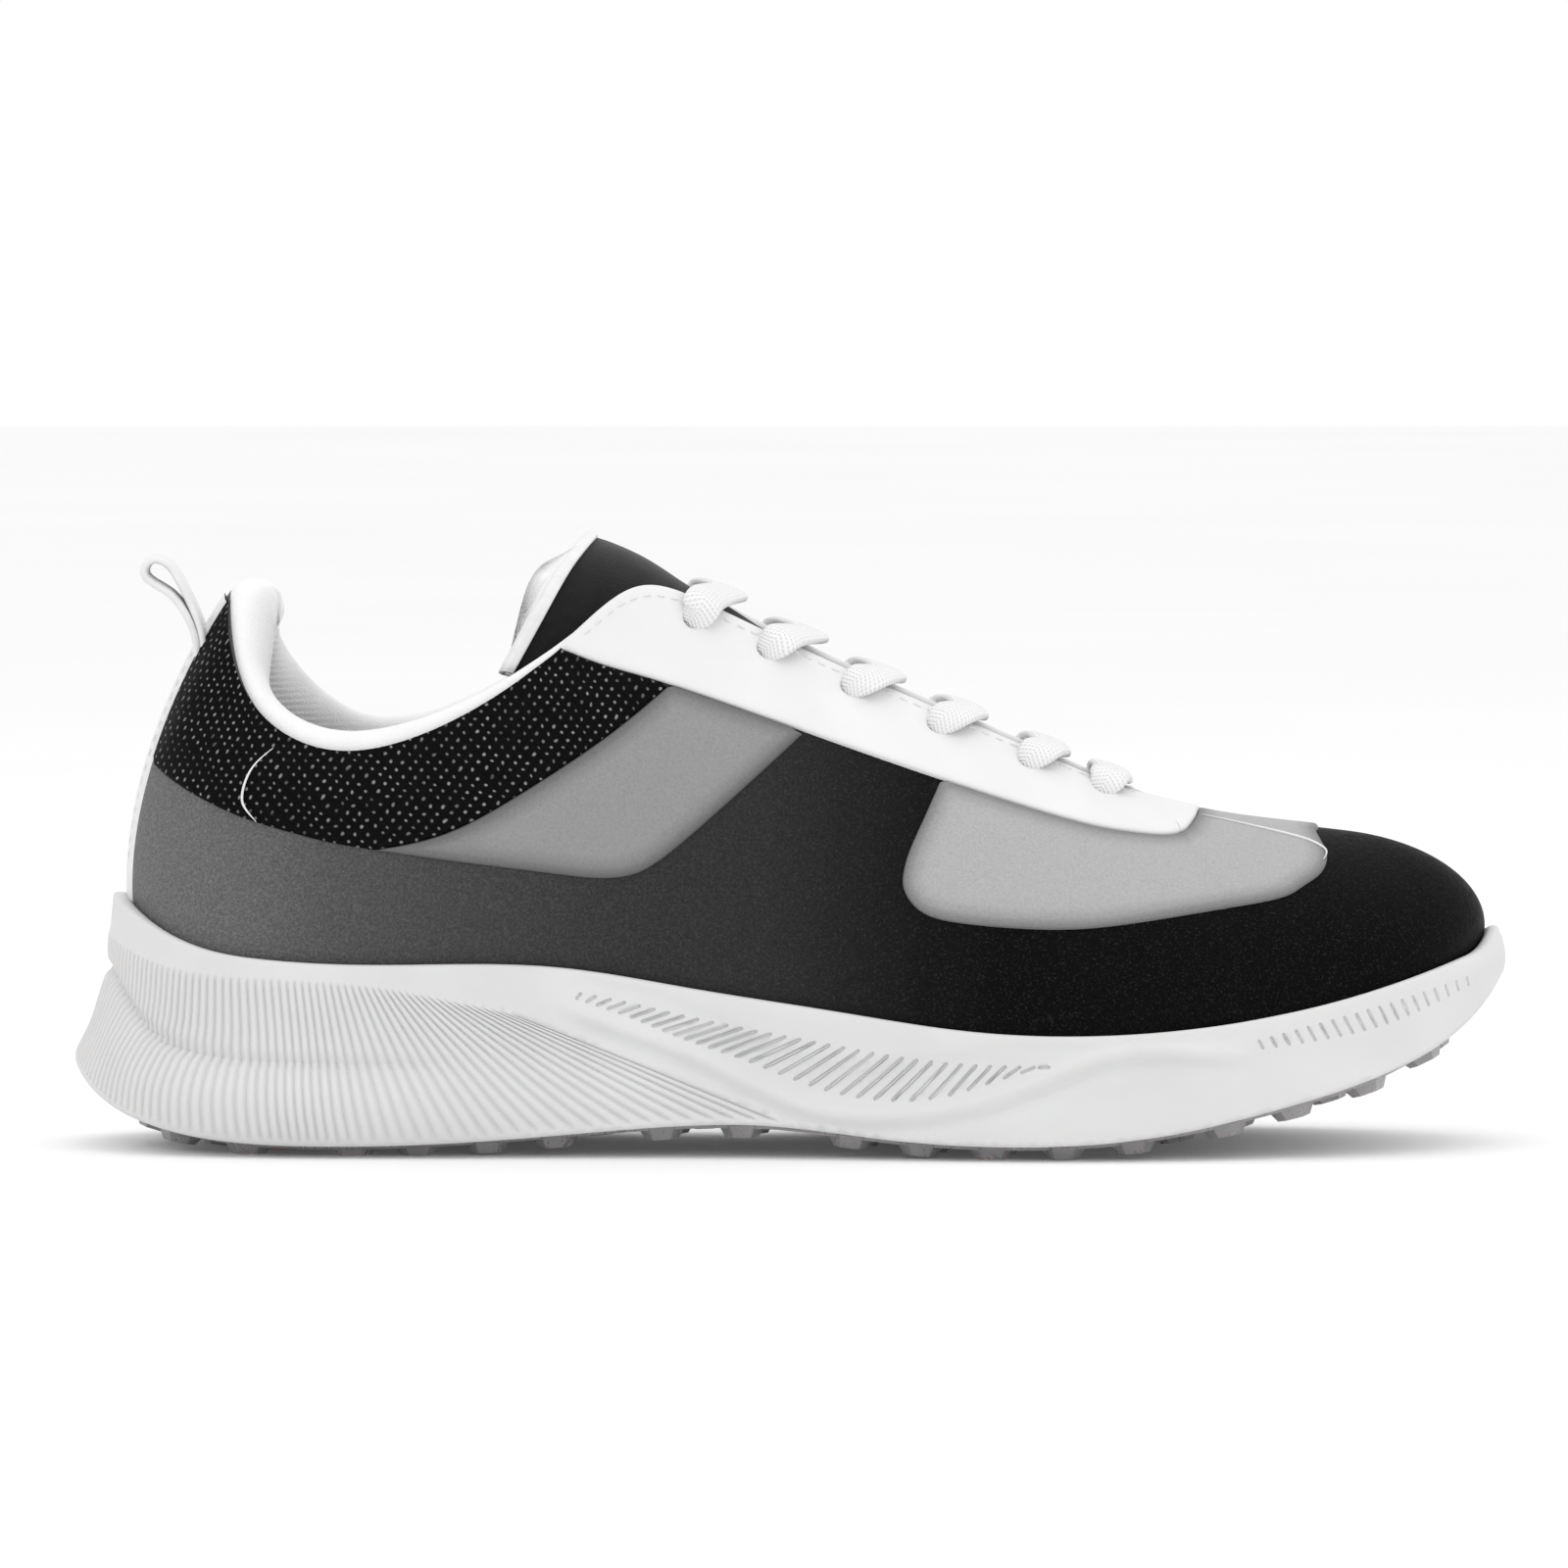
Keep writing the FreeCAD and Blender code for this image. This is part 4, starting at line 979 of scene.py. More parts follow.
def collar_path(u):
    """Path of the lining's face at a station: over the padded roll and down inside the heel."""
    deep = collar_deep(u)
    top = rib_point(u, 1)
    away = normal(u, 1)
    up = (top - rib_point(u, 0.98)).normalized()
    high = ROLL_HEIGHT * fullness(u) + ROLL_EXTRA.at(u)[0]
    high *= 1 - 0.95 * smooth(4.5, COLLAR_END, abs(u))
    path = []
    for angle in steps(-0.16, math.pi, 22):
        centre = top - away * (deep / 2) + up * 0.1
        swell = 1 + 0.05 * math.sin(angle)
        path.append(centre + away * (deep / 2 * math.cos(angle) * swell)
                    + up * (high * math.sin(angle) * swell))
    for v in steps(0.955, 0.06, 60):
        path.append(layer_point(u, v, lining_depth(u, v)))
    return path


def make_collar():
    grid = [collar_path(u) for u in steps(-COLLAR_END, COLLAR_END, 280)]
    piece = grid_mesh("collar_padding", [row[::-1] for row in grid])
    ribbed = [smooth(14, 30, j) for j in range(len(grid[0]))][::-1]
    numbers(piece, "ribbed", ribbed * len(grid))
    return piece


# ---- tongue ---------------------------------------------------------------------------------
TONGUE = [
    [(77, 0, 65.6), (78, 6, 65), (79.5, 11, 63.4), (81, 15, 61.2)],
    [(64.5, 0, 69.6), (65, 8, 68.4), (66, 14.5, 67.2), (67.5, 18.5, 65)],
    [(41, 0, 81.4), (40.8, 10, 79.4), (41, 16.5, 76.8), (42.3, 21.4, 72.4)],
    [(9, 0, 98.9), (8.3, 11, 95.3), (8.2, 17, 90.4), (9.3, 21, 84.8)],
    [(-11, 0, 111.8), (-13.2, 12.6, 107), (-14, 18, 101), (-13.5, 21.5, 94)],
    [(-20, 0, 116.6), (-23.3, 12.6, 111.8), (-26, 18.5, 104), (-28.4, 21.6, 94.4)],
    [(-29.5, 0, 122.7), (-33.6, 13, 117.4), (-39, 19.2, 108), (-45.4, 22.2, 97)],
    [(-41, 0, 127.6), (-45.2, 13, 122.8), (-51, 19.5, 113), (-58.2, 22.4, 99.8)],
]
TONGUE_FACE = 0.9
TONGUE_DEEP = 6.7
FACE_COLUMNS = 40


def tongue_grid(count):
    """Even grid over the tongue's outer face, from the root to the free end."""
    track = Track([(i,) + tuple(c for point in row for c in point) for i, row in enumerate(TONGUE)])
    rows = []
    for where in steps(0, len(TONGUE) - 1, count):
        flat = track.at(where)
        half = [Vector(flat[3 * i:3 * i + 3]) for i in range(4)]
        left = [Vector((p.x, -p.y, p.z)) for p in half[:0:-1]]
        section = Track([(i, p.x, p.y, p.z) for i, p in enumerate(left + half)])
        rows.append([Vector(section.at(share)) for share in steps(0, 6, FACE_COLUMNS)])
    return rows


def grid_inward(rows, i, j):
    along = rows[min(i + 1, len(rows) - 1)][j] - rows[max(i - 1, 0)][j]
    across = rows[i][min(j + 1, len(rows[0]) - 1)] - rows[i][max(j - 1, 0)]
    return along.cross(across).normalized()


def tongue_pillow(name, rows, top, bottom, bulge, puff=0.0):
    """Closed pad between two depths under the tongue's face, with full rounded edges."""
    sections = []
    last = len(rows) - 1
    for i, row in enumerate(rows):
        near_end = smooth(0, 6, last - i)
        upper = []
        lower = []
        for j in range(len(row)):
            inward = grid_inward(rows, i, j)
            across = abs(2 * j / (len(row) - 1) - 1)
            pinch = 1 - 0.75 * smooth(0.8, 1.0, across)
            middle = (top + bottom) / 2
            half = (bottom - top) / 2 * pinch * (0.6 + 0.4 * near_end)
            at_tip = smooth(0.72, 0.95, i / last)
            rise = bulge * (1 + 5 * at_tip) * math.cos(across * math.pi / 2) ** 0.6 * near_end
            back = (rows[last][j] - rows[last - 4][j]).normalized()
            push = back * (puff * at_tip * math.sin(math.pi * across ** 0.8))
            upper.append(row[j] + inward * (middle - half) + push * 0.4)
            lower.append(row[j] + inward * (middle + half + rise) + push)
        sections.append(upper + lower[::-1])
    return tube_mesh(name, sections)


def make_tongue_face():
    rows = tongue_grid(110)
    return rows, tongue_pillow("tongue_face_knit", rows, 0.0, TONGUE_FACE, 0.0)


def make_binding(rows):
    """Edging folded over the free end and round its two corners."""
    sections = []
    last = len(rows) - 1
    for j in range(len(rows[0])):
        back = (rows[last][j] - rows[last - 3][j]).normalized()
        inward = grid_inward(rows, last, j)
        edge = rows[last][j]
        section = []
        inner = []
        for degrees in range(-90, 91, 15):
            angle = math.radians(degrees)
            middle = edge + inward * (TONGUE_DEEP / 2 + 0.2) + back * 0.2
            section.append(middle + back * (1.3 * math.cos(angle))
                           - inward * ((TONGUE_DEEP / 2 + 0.9) * -math.sin(angle)))
            inner.append(middle + back * (0.7 * math.cos(angle))
                         - inward * ((TONGUE_DEEP / 2 + 0.2) * -math.sin(angle)))
        top_start = edge - back * 1.6 - inward * 0.6
        low_start = edge - back * 3.0 + inward * (TONGUE_DEEP + 0.8)
        outer = [top_start + (section[0] - top_start) * s for s in (0, 0.3, 0.7)]
        outer += section
        outer += [section[-1] + (low_start - section[-1]) * s for s in (0.3, 0.7, 1)]
        inside = [low_start - inward * 0.7, inner[-1]] + inner[-2:0:-1]
        inside += [inner[0], top_start + inward * 0.7]
        sections.append(outer + inside)
    return tube_mesh("tongue_edge_tape", sections)


# ---- lace -----------------------------------------------------------------------------------
LACE_RISE = [4.4, 4.0, 3.0, 2.6, 2.4, 2.3]
LACE_SIDES = 20
LACE_SQUARE = 0.75
NECK_WIDTHS = [4.2, 4.6, 7.6]
BAR_WIDTH = 8.6
BAR_THICKS = [2.2, 2.6, 2.7, 2.6, 2.5, 2.6, 2.7, 2.6, 2.2]
HIDDEN_POINTS = 5
HIDDEN_WIDTH = 4.2
HIDDEN_THICK = 1.2
HIDDEN_DEPTH = 3.4
LACE_LEAD = 0.16
LACE_MIDDLE_LEAD = [0.34, 0.3, 0.22, 0.2, 0.2, 0.2]


def lace_tube(points, ups, widths, thicks, fine=14):
    """Flat oval cord through points; also gives how far along and across each point is."""
    track = Track([(i, *p, *up, w, t)
                   for i, (p, up, w, t) in enumerate(zip(points, ups, widths, thicks))])
    sections = []
    along = []
    across = []
    travelled = 0.0
    before = None
    end = len(points) - 1
    for where in steps(0, end, fine * end):
        row = track.at(where)
        ahead = Vector(track.at(min(where + 0.04, end))[:3]) - Vector(track.at(max(where - 0.04, 0))[:3])
        ahead.normalize()
        side = ahead.cross(Vector(row[3:6])).normalized()
        lift = side.cross(ahead).normalized()
        centre = Vector(row[:3])
        if before is not None:
            travelled += (centre - before).length
        before = centre
        section = []
        for k in range(LACE_SIDES):
            angle = 2 * math.pi * k / LACE_SIDES
            x = squared(math.cos(angle), LACE_SQUARE)
            y = squared(math.sin(angle), LACE_SQUARE)
            section.append(centre + side * (row[6] / 2 * x) + lift * (row[7] / 2 * y))
            along.append(travelled)
            across.append(0.5 + 0.5 * x)
        sections.append(section)
    return sections, along, across


def lace_bar(row):
    """One visible run: out of an eyelet, over the eyestay edge and the tongue, and back in."""
    u, v = EYELETS[row]
    points = []
    ups = []
    for side in (1, -1):
        hole = rib_point(side * u, v)
        away = normal(side * u, v)
        edge = rib_point(side * (u + LACE_LEAD), 1)
        edge_up = (normal(side * (u + LACE_LEAD), 1) + Vector((0, 0, 0.7))).normalized()
        inward = (edge - hole).normalized()
        over = (away - inward * 0.7).normalized()
        half = [hole - away * 3.0 - inward * 0.4, hole - away * 0.6,
                hole + away * 2.6 + inward * 1.6, edge + edge_up * 2.9]
        half_ups = [inward * -1, inward * -1, over, edge_up]
        if side > 0:
            points += half
            ups += half_ups
            ahead = u + LACE_MIDDLE_LEAD[row]
            middle = (rib_point(ahead, 1) + rib_point(-ahead, 1)) * 0.5
            points.append(middle + Vector((0.9, 0, LACE_RISE[row])))
            ups.append(Vector((0.35, 0, 1)).normalized())
        else:
            points += half[::-1]
            ups += half_ups[::-1]
    widths = NECK_WIDTHS + [BAR_WIDTH] * 3 + NECK_WIDTHS[::-1]
    return lace_tube(points, ups, widths, BAR_THICKS)


def hidden_run(row, side):
    """One run under the eyestay, from one eyelet to the next."""
    points = []
    ups = []
    for share in steps(0, 1, HIDDEN_POINTS - 1):
        u = EYELETS[row][0] + (EYELETS[row + 1][0] - EYELETS[row][0]) * share
        v = EYELETS[row][1] + (EYELETS[row + 1][1] - EYELETS[row][1]) * share
        points.append(layer_point(side * u, v, HIDDEN_DEPTH))
        ups.append(normal(side * u, v))
    return lace_tube(points, ups, [HIDDEN_WIDTH] * HIDDEN_POINTS, [HIDDEN_THICK] * HIDDEN_POINTS,
                     fine=6)


def make_lace():
    runs = [lace_bar(row) for row in range(len(EYELETS))]
    runs += [hidden_run(row, -1 if row % 2 == 0 else 1) for row in range(len(EYELETS) - 1)]
    points = []
    faces = []
    along = []
    across = []
    for sections, run_along, run_across in runs:
        start = len(points)
        points += [p for section in sections for p in section]
        faces += tube_faces(len(sections), LACE_SIDES, start)
        along += run_along
        across += run_across
    piece = new_mesh("lace_cord", points, faces)
    numbers(piece, "along", along)
    numbers(piece, "across", across)
    return piece


# ---- midsole --------------------------------------------------------------------------------
WALL_SHAPE = [(0, 0.9, 0), (0.06, 1, 0), (0.2, 1, 0.05), (0.42, 0.9, 0.3), (0.6, 1, 0.85),
              (0.72, 1, 1), (0.84, 0.8, 0.8), (1, -0.4, 0)]
WALL = Track(WALL_SHAPE)
CUP_GAP = 0.25
WALL_FOOT = -4.0
FLARE_SHARE = 0.6
RIM_SEARCH_TOP = 0.6
RIM_ROUNDS = 22
# Ends of the search round the wall, clear of the heel's and the toe's middle lines.
AROUND_START = 20.0
AROUND_END = 4
# Top edge of the grooved band round the heel: distance from the heel's middle, height.
BAND_TOP = Track([(-8, 44.4), (0, 44.5), (14, 43.4), (31, 40), (41, 38.5), (58, 37.5), (74, 36.7),
                  (82, 35.9), (93.5, 33.9), (101.5, 32.2), (111.5, 30), (127, 25), (140, 20)])
# Fold where the flare leaves the band.
FOLD = Track([(0, 37.5), (8, 36.6), (14.4, 34.3), (24, 28.8), (31.6, 24.9), (42, 21.8),
              (54, 20.4), (70, 19.6), (90, 19.4), (110, 19.4)])
# The grooves fan forward: number of the groove, distance round at its top and at its foot.
FAN = Track([(0, 0, 0), (11, 20, 18.5), (24, 42.5, 41.5), (32, 57.5, 60.5), (36.5, 65.3, 69.2),
             (41.5, 73, 80), (47, 81, 97), (55, 92.5, 125.5), (65, 111.5, 168)])
GROOVE_COUNT = 65
GROOVE_DEPTH = 0.6
# Across a groove: share of its pitch, share of its depth.
GROOVE_SECTION = ((0.29, 0), (0.42, 1), (0.58, 1), (0.71, 0))
GROOVE_STEPS = 30
WALL_COLUMNS = 210
END_ROWS = 16
WALL_SPACING = 1.3
WALL_ROW = 0.95
WALL_TREE_SIZE = 60000
# The slotted ribbon along the waist, in side view: tops and feet of its slots.
SLOT_TOPS = Track([(-45, 34.8), (-34, 32.6), (-18.7, 29.2), (4.6, 24.9), (20.1, 22.2), (35.4, 20.4),
                   (50.9, 20), (56, 20)])
SLOT_FEET = Track([(-46, 33.4), (-37.8, 30.8), (-29.5, 27.7), (-20.9, 24.3), (-9.3, 20.4),
                   (-1.1, 17.3), (9.3, 13.9), (19.3, 12.4), (28.9, 12.6), (35.8, 14.1),
                   (43.9, 16.7), (54, 19.8)])
SLOT_LEAN = Track([(-42.5, 0.8), (-34, 3.2), (-26, 5), (-10, 9), (13.8, 10), (30, 8), (43, 4.2),
                   (53.9, 2)])
SLOT_COUNT = 33
SLOT_DEPTH = 0.6
SLOT_RADIUS = 0.36
RIBBON_FOOT = Track([(-49.5, 31.6), (-33, 25.5), (-18.7, 20), (-7, 14.5), (4.6, 9.8), (20.1, 8.4),
                     (32, 9.6), (43.7, 12.4), (55.2, 17), (66.8, 21), (78.4, 21.8), (90, 21),
                     (98, 20)])
TOE_SLOT_COUNT = 19
TOE_SLOTS = Track([(0, 97.8, 23.9), (0.5, 121, 28.8), (1, 141.4, 35.3)])


class WallSide:
    """The midsole's outer wall on one side, addressed by distance round from the heel and height."""

    def __init__(self, side):
        self.side = side
        self.stations = steps(0, TOE, 700)
        self.data = []
        self.round = [0.0]
        before = None
        for u in self.stations:
            v_rim = self._rim_share(side * u)
            away = outward(side * u)
            start = layer_point(side * u, v_rim, -CUP_GAP)
            mid = start + away * (LIP.at(u)[0] + FLARE.at(u)[0] * FLARE_SHARE)
            mid.z = 0
            if before is not None:
                self.round.append(self.round[-1] + (mid - before).length)
            before = mid
            self.data.append((start.x, start.y, start.z, away.x, away.y, LIP.at(u)[0],
                              FLARE.at(u)[0], v_rim))
        self.length = self.round[-1]
        self.by_round = Track([(r,) + d for r, d in list(zip(self.round, self.data))[::5]])

    def _rim_share(self, u):
        """Height at which the rib passes the midsole's rim."""
        def below_rim(v):
            point = rib_point(u, v)
            return point.z < RIM.at(point.x)[0]
        return last_true(0.0, RIM_SEARCH_TOP, RIM_ROUNDS, below_rim)

    def point(self, around, z):
        x, y, top, ax, ay, lip, flare, _ = self.by_round.at(around)
        share = (top - z) / (top - WALL_FOOT)
        lip_share, spread = WALL.at(min(max(share, 0), 1))
        out = lip * lip_share + flare * spread
        return Vector((x + ax * out, y + ay * out, z))

    def top(self, around):
        return self.by_round.at(around)[2]

    def foot(self, around):
        z = 6.0
        for _ in range(6):
            z = UNDER.at(self.point(around, z).x)[0]
        return z

    def around(self, x, z):
        """Distance round at which the side view passes x at a height."""
        far = self.length - AROUND_END
        return last_true(AROUND_START, far, SEARCH_ROUNDS, lambda a: self.point(a, z).x < x)

    def away(self, around, z):
        e = 0.3
        along = self.point(min(around + e, self.length), z) - self.point(max(around - e, 0), z)
        up = self.point(around, z + e) - self.point(around, z - e)
        return (along.cross(up) * self.side).normalized()


# Where the band and its fold fade out, as distances round from the heel.
FOLD_FADE = (78, 112)
BAND_FADE = 100
BAND_END = 118
# Where the ribbon begins, swells, falls and ends, along X.
RIBBON_START = -50
RIBBON_END = 100
RIBBON_RISE = (-50, -38)
RIBBON_FALL = (84, 98)


def near_line(line, z, where, width):
    """1 on a line of heights, 0 beyond a width from it."""
    return math.exp(-((z - line.at(where)[0]) / width) ** 2)


def relief(wall, around, z, point):
    """Broad swells and folds of the wall, in millimetres outward."""
    out = 0.0
    if around < BAND_END:
        fade = 1 - smooth(*FOLD_FADE, around)
        out -= 1.5 * near_line(FOLD, z, around, 1.3) * fade
        out += 0.9 * near_line(FOLD, z + 7, around, 5) * fade
        band = z - BAND_TOP.at(around)[0]
        out += 0.45 * (1 - smooth(-0.8, 0.2, band)) * (1 - smooth(BAND_FADE, BAND_END, around))
    x = point.x
    if RIBBON_START < x < RIBBON_END:
        fade = smooth(*RIBBON_RISE, x) * (1 - smooth(*RIBBON_FALL, x))
        out += 1.1 * near_line(RIBBON_FOOT, z - 1.2, x, 1.9) * fade
        out -= 0.7 * near_line(RIBBON_FOOT, z + 1.9, x, 1.1) * fade
        low = RIBBON_FOOT.at(x)[0]
        channel = smooth(low + 1, low + 4, z) * (1 - smooth(low + 10, low + 13.5, z))
        out -= 0.5 * channel * fade
    at_toe = smooth(wall.length - 50, wall.length - 6, around)
    out += 1.0 * at_toe * math.exp(-((z - 39) / 5) ** 2)
    return out


def groove_points(wall, number, count):
    top_round, foot_round = FAN.at(number)
    top = BAND_TOP.at(top_round)[0] - 0.4
    foot = wall.foot(foot_round) + 1.1
    return [(top_round + (foot_round - top_round) * q, top + (foot - top) * q)
            for q in steps(0, 1, count)]


def slot_rings(ends, radius):
    """Rounded slot between two points: its rim, its floor's edge, a ring outside it."""
    (a0, z0), (a1, z1) = ends
    length = math.hypot(a1 - a0, z1 - z0)
    along = ((a1 - a0) / length, (z1 - z0) / length)
    heading = math.atan2(along[1], along[0])
    rings = []
    for size in (radius, radius * 0.7, radius * 1.75):
        ring = []
        for end, start in (((a1, z1), -90), ((a0, z0), 90)):
            for k in range(7):
                angle = heading + math.radians(start + 30 * k)
                ring.append((end[0] + size * math.cos(angle), end[1] + size * math.sin(angle)))
        rings.append(ring)
    return rings


def slots(wall):
    """End points of every slot, as (distance round, height)."""
    found = []
    for j in range(SLOT_COUNT):
        x = -42.5 + 96.4 * j / (SLOT_COUNT - 1)
        foot_x = x - SLOT_LEAN.at(x)[0]
        z = SLOT_TOPS.at(x)[0] - 0.4
        foot_z = SLOT_FEET.at(foot_x)[0] + 0.4
        found.append(((wall.around(foot_x, foot_z), foot_z), (wall.around(x, z), z)))
    for j in range(TOE_SLOT_COUNT):
        share = j / (TOE_SLOT_COUNT - 1)
        x, z = TOE_SLOTS.at(share)
        half = 0.8 + 1.1 * math.sin(math.pi * share)
        centre = wall.around(x, z)
        found.append(((centre - half * 0.5, z + half * 0.85), (centre + half * 0.5, z - half * 0.85)))
    return found


def wall_sheet(side):
    """Points, faces and edge rings of one side's wall with its grooves and slots."""
    wall = WallSide(side)
    rounds = [wall.length * i / WALL_COLUMNS for i in range(WALL_COLUMNS + 1)]
    rim = [(a, wall.top(a)) for a in rounds]
    foot = [(a, wall.foot(a)) for a in rounds]
    ends = []
    for a in (0.0, wall.length):
        top = wall.top(a)
        low = wall.foot(a)
        ends.append([(a, top + (low - top) * i / END_ROWS) for i in range(1, END_ROWS)])
    domain = []
    depth = []
    edges = []

    def add(points, deep, closed=False):
        start = len(domain)
        domain.extend(points)
        depth.extend(deep)
        for i in range(len(points) - 1):
            edges.append((start + i, start + i + 1))
        if closed:
            edges.append((start + len(points) - 1, start))
        return start

    border = rim + ends[1] + foot[::-1] + ends[0][::-1]
    add(border, [0.0] * len(border), closed=True)
    feature = kdtree.KDTree(WALL_TREE_SIZE)
    stored = 0
    for groove in range(GROOVE_COUNT):
        for offset, deep in GROOVE_SECTION:
            line = groove_points(wall, groove + offset, GROOVE_STEPS)
            fades = [GROOVE_DEPTH * deep * smooth(0, 0.05, i / GROOVE_STEPS)
                     * (1 - smooth(0.96, 1, i / GROOVE_STEPS)) for i in range(GROOVE_STEPS + 1)]
            add(line, [-f for f in fades])
            for a, z in line:
                feature.insert((a, z, 0), stored)
                stored += 1
    for ends_of_slot in slots(wall):
        outer, inner, beyond = slot_rings(ends_of_slot, SLOT_RADIUS)
        domain.extend(beyond)
        depth.extend([0.0] * len(beyond))
        add(outer, [0.0] * len(outer), closed=True)
        add(inner, [-SLOT_DEPTH] * len(inner), closed=True)
        for a, z in outer:
            feature.insert((a, z, 0), stored)
            stored += 1
    feature.balance()
    for i in range(int(wall.length / WALL_SPACING)):
        for j in range(1, 60):
            a = 0.65 + WALL_SPACING * i
            z = j * WALL_ROW + (0.47 if i % 2 else 0)
            if not wall.foot(a) + 0.7 < z < wall.top(a) - 0.5 or a > wall.length - 0.8:
                continue
            if feature.find((a, z, 0))[2] > 0.75:
                domain.append((a, z))
                depth.append(0.0)
    result = delaunay_2d_cdt([Vector(p) for p in domain], edges, [], 1, 1e-5)
    places = []
    for c, sources in zip(result[0], result[3]):
        a = c.x
        z = c.y
        point = wall.point(a, z)
        deep = min((depth[i] for i in sources), default=0.0)
        border_fade = smooth(0, 2.0, wall.top(a) - z) * smooth(0, 1.5, z - wall.foot(a))
        out = relief(wall, a, z, point) * border_fade + deep
        places.append(point + wall.away(a, z) * out)
    faces = [tuple(f)[::side] for f in result[2]]
    return wall, rounds, places, faces


def make_midsole():
    """Walls with their moulded pattern, the rim's lip, the cup's edge and the underside."""
    pieces = []
    feet = {}
    for side in (1, -1):
        wall, rounds, places, faces = wall_sheet(side)
        pieces.append(new_mesh("wall", places, faces))
        strip = []
        low = []
        for a in rounds:
            x, y, top, ax, ay, lip, flare, v_rim = wall.by_round.at(a)
            start = Vector((x, y, top))
            out = Vector((ax, ay, 0))
            edge = lip * WALL.at(0)[0]
            strip.append([start + out * edge, start + out * (edge - 0.25) + Vector((0, 0, 0.32)),
                          start + out * (edge - 0.8) + Vector((0, 0, 0.5)),
                          start + out * (edge * 0.35) + Vector((0, 0, 0.4)),
                          start + out * 0.1 + Vector((0, 0, -0.1)),
                          start + out * -0.4 + Vector((0, 0, -2.5))])
            low.append(wall.point(a, wall.foot(a)))
        pieces.append(grid_mesh("rim", strip if side < 0 else [r[::-1] for r in strip]))
        feet[side] = low
    under = []
    for left, right in zip(feet[-1], feet[1]):
        row = [left.lerp(right, s) for s in steps(0, 1, 8)]
        for p in row[1:-1]:
            p.z = UNDER.at(p.x)[0]
        under.append(row)
    pieces.append(grid_mesh("under", under))
    return weld(joined("midsole_moulding", pieces), 0.03)


# ---- insole ---------------------------------------------------------------------------------
BOARD_LINE = Track([(-150, 31), (-112, 31), (-90, 31), (-62, 30.3), (-36, 28), (-18, 25.4),
                    (0, 22.4), (27, 18.5), (57, 16.5), (84, 18), (98, 20.5), (114, 24),
                    (130, 29), (150, 36)])
INSOLE_THICK = 4.0


def make_insole():
    """Moulded sock: flat under the foot, turned up a little round its edge."""
    sections = []
    for u in steps(0.15, TOE - 0.15, 90):
        tops = []
        feet = []
        for side in (1, -1):
            base = Vector(BASE.at(side * u))
            tops.append(base - outward(side * u) * 0.6)
            feet.append(base - outward(side * u) * 2.8)
        upper = []
        lower = []
        for share in steps(-1, 1, 32):
            p = tops[0].lerp(tops[1], (share + 1) / 2)
            q = feet[0].lerp(feet[1], (share + 1) / 2)
            lip = 1.4 * smooth(0.75, 1.0, abs(share))
            upper.append(Vector((p.x, p.y, BOARD_LINE.at(p.x)[0] + INSOLE_THICK + lip - 0.2)))
            lower.append(Vector((q.x, q.y, BOARD_LINE.at(q.x)[0] + 0.1)))
        sections.append(upper + lower[::-1])
    return tube_mesh("insole_sock", sections)


# ---- pull tab -------------------------------------------------------------------------------
TAB_PATH = [(-122.8, 102), (-123.3, 106), (-124.5, 109.6), (-126.2, 112.6), (-129, 115.6),
            (-132.8, 118), (-134, 120.3), (-132.3, 122.4), (-129.2, 121.6), (-126.8, 118.4),
            (-124.9, 114.6), (-123.2, 110.8), (-122, 107), (-121.5, 103)]
TAB_HALF_WIDTH = 7.0
TAB_THICK = 1.8
TAB_FILL = 0.98
TAB_SIDES = 28
TAB_SQUARE_ACROSS = 0.35
TAB_SQUARE_THROUGH = 0.6


def make_pull_tab():
    """Loop of webbing folded back on itself."""
    track = Track([(i,) + p for i, p in enumerate(TAB_PATH)])
    end = len(TAB_PATH) - 1
    sections = []
    for where in steps(0, end, 90):
        x, z = track.at(where)
        ahead = track.at(min(where + 0.05, end))
        behind = track.at(max(where - 0.05, 0))
        along = Vector((ahead[0] - behind[0], 0, ahead[1] - behind[1])).normalized()
        away = Vector((-along.z, 0, along.x))
        section = []
        for k in range(TAB_SIDES):
            angle = 2 * math.pi * k / TAB_SIDES
            y = squared(math.cos(angle), TAB_SQUARE_ACROSS)
            t = squared(math.sin(angle), TAB_SQUARE_THROUGH)
            section.append(Vector((x, TAB_HALF_WIDTH * TAB_FILL * y, z)) + away * (TAB_THICK / 2 * t))
        sections.append(section)
    return tube_mesh("pull_tab_loop", sections)


# ---- seams ----------------------------------------------------------------------------------
# Along a stitch: share of its length, share of its thickness, rise over the leather.
STITCH_SHAPE = [(0, 0.3, -0.25), (0.08, 0.8, 0.0), (0.25, 1, 0.14), (0.5, 1, 0.18),
                (0.75, 1, 0.14), (0.92, 0.8, 0.0), (1, 0.3, -0.25)]
STITCH_SIDES = 6


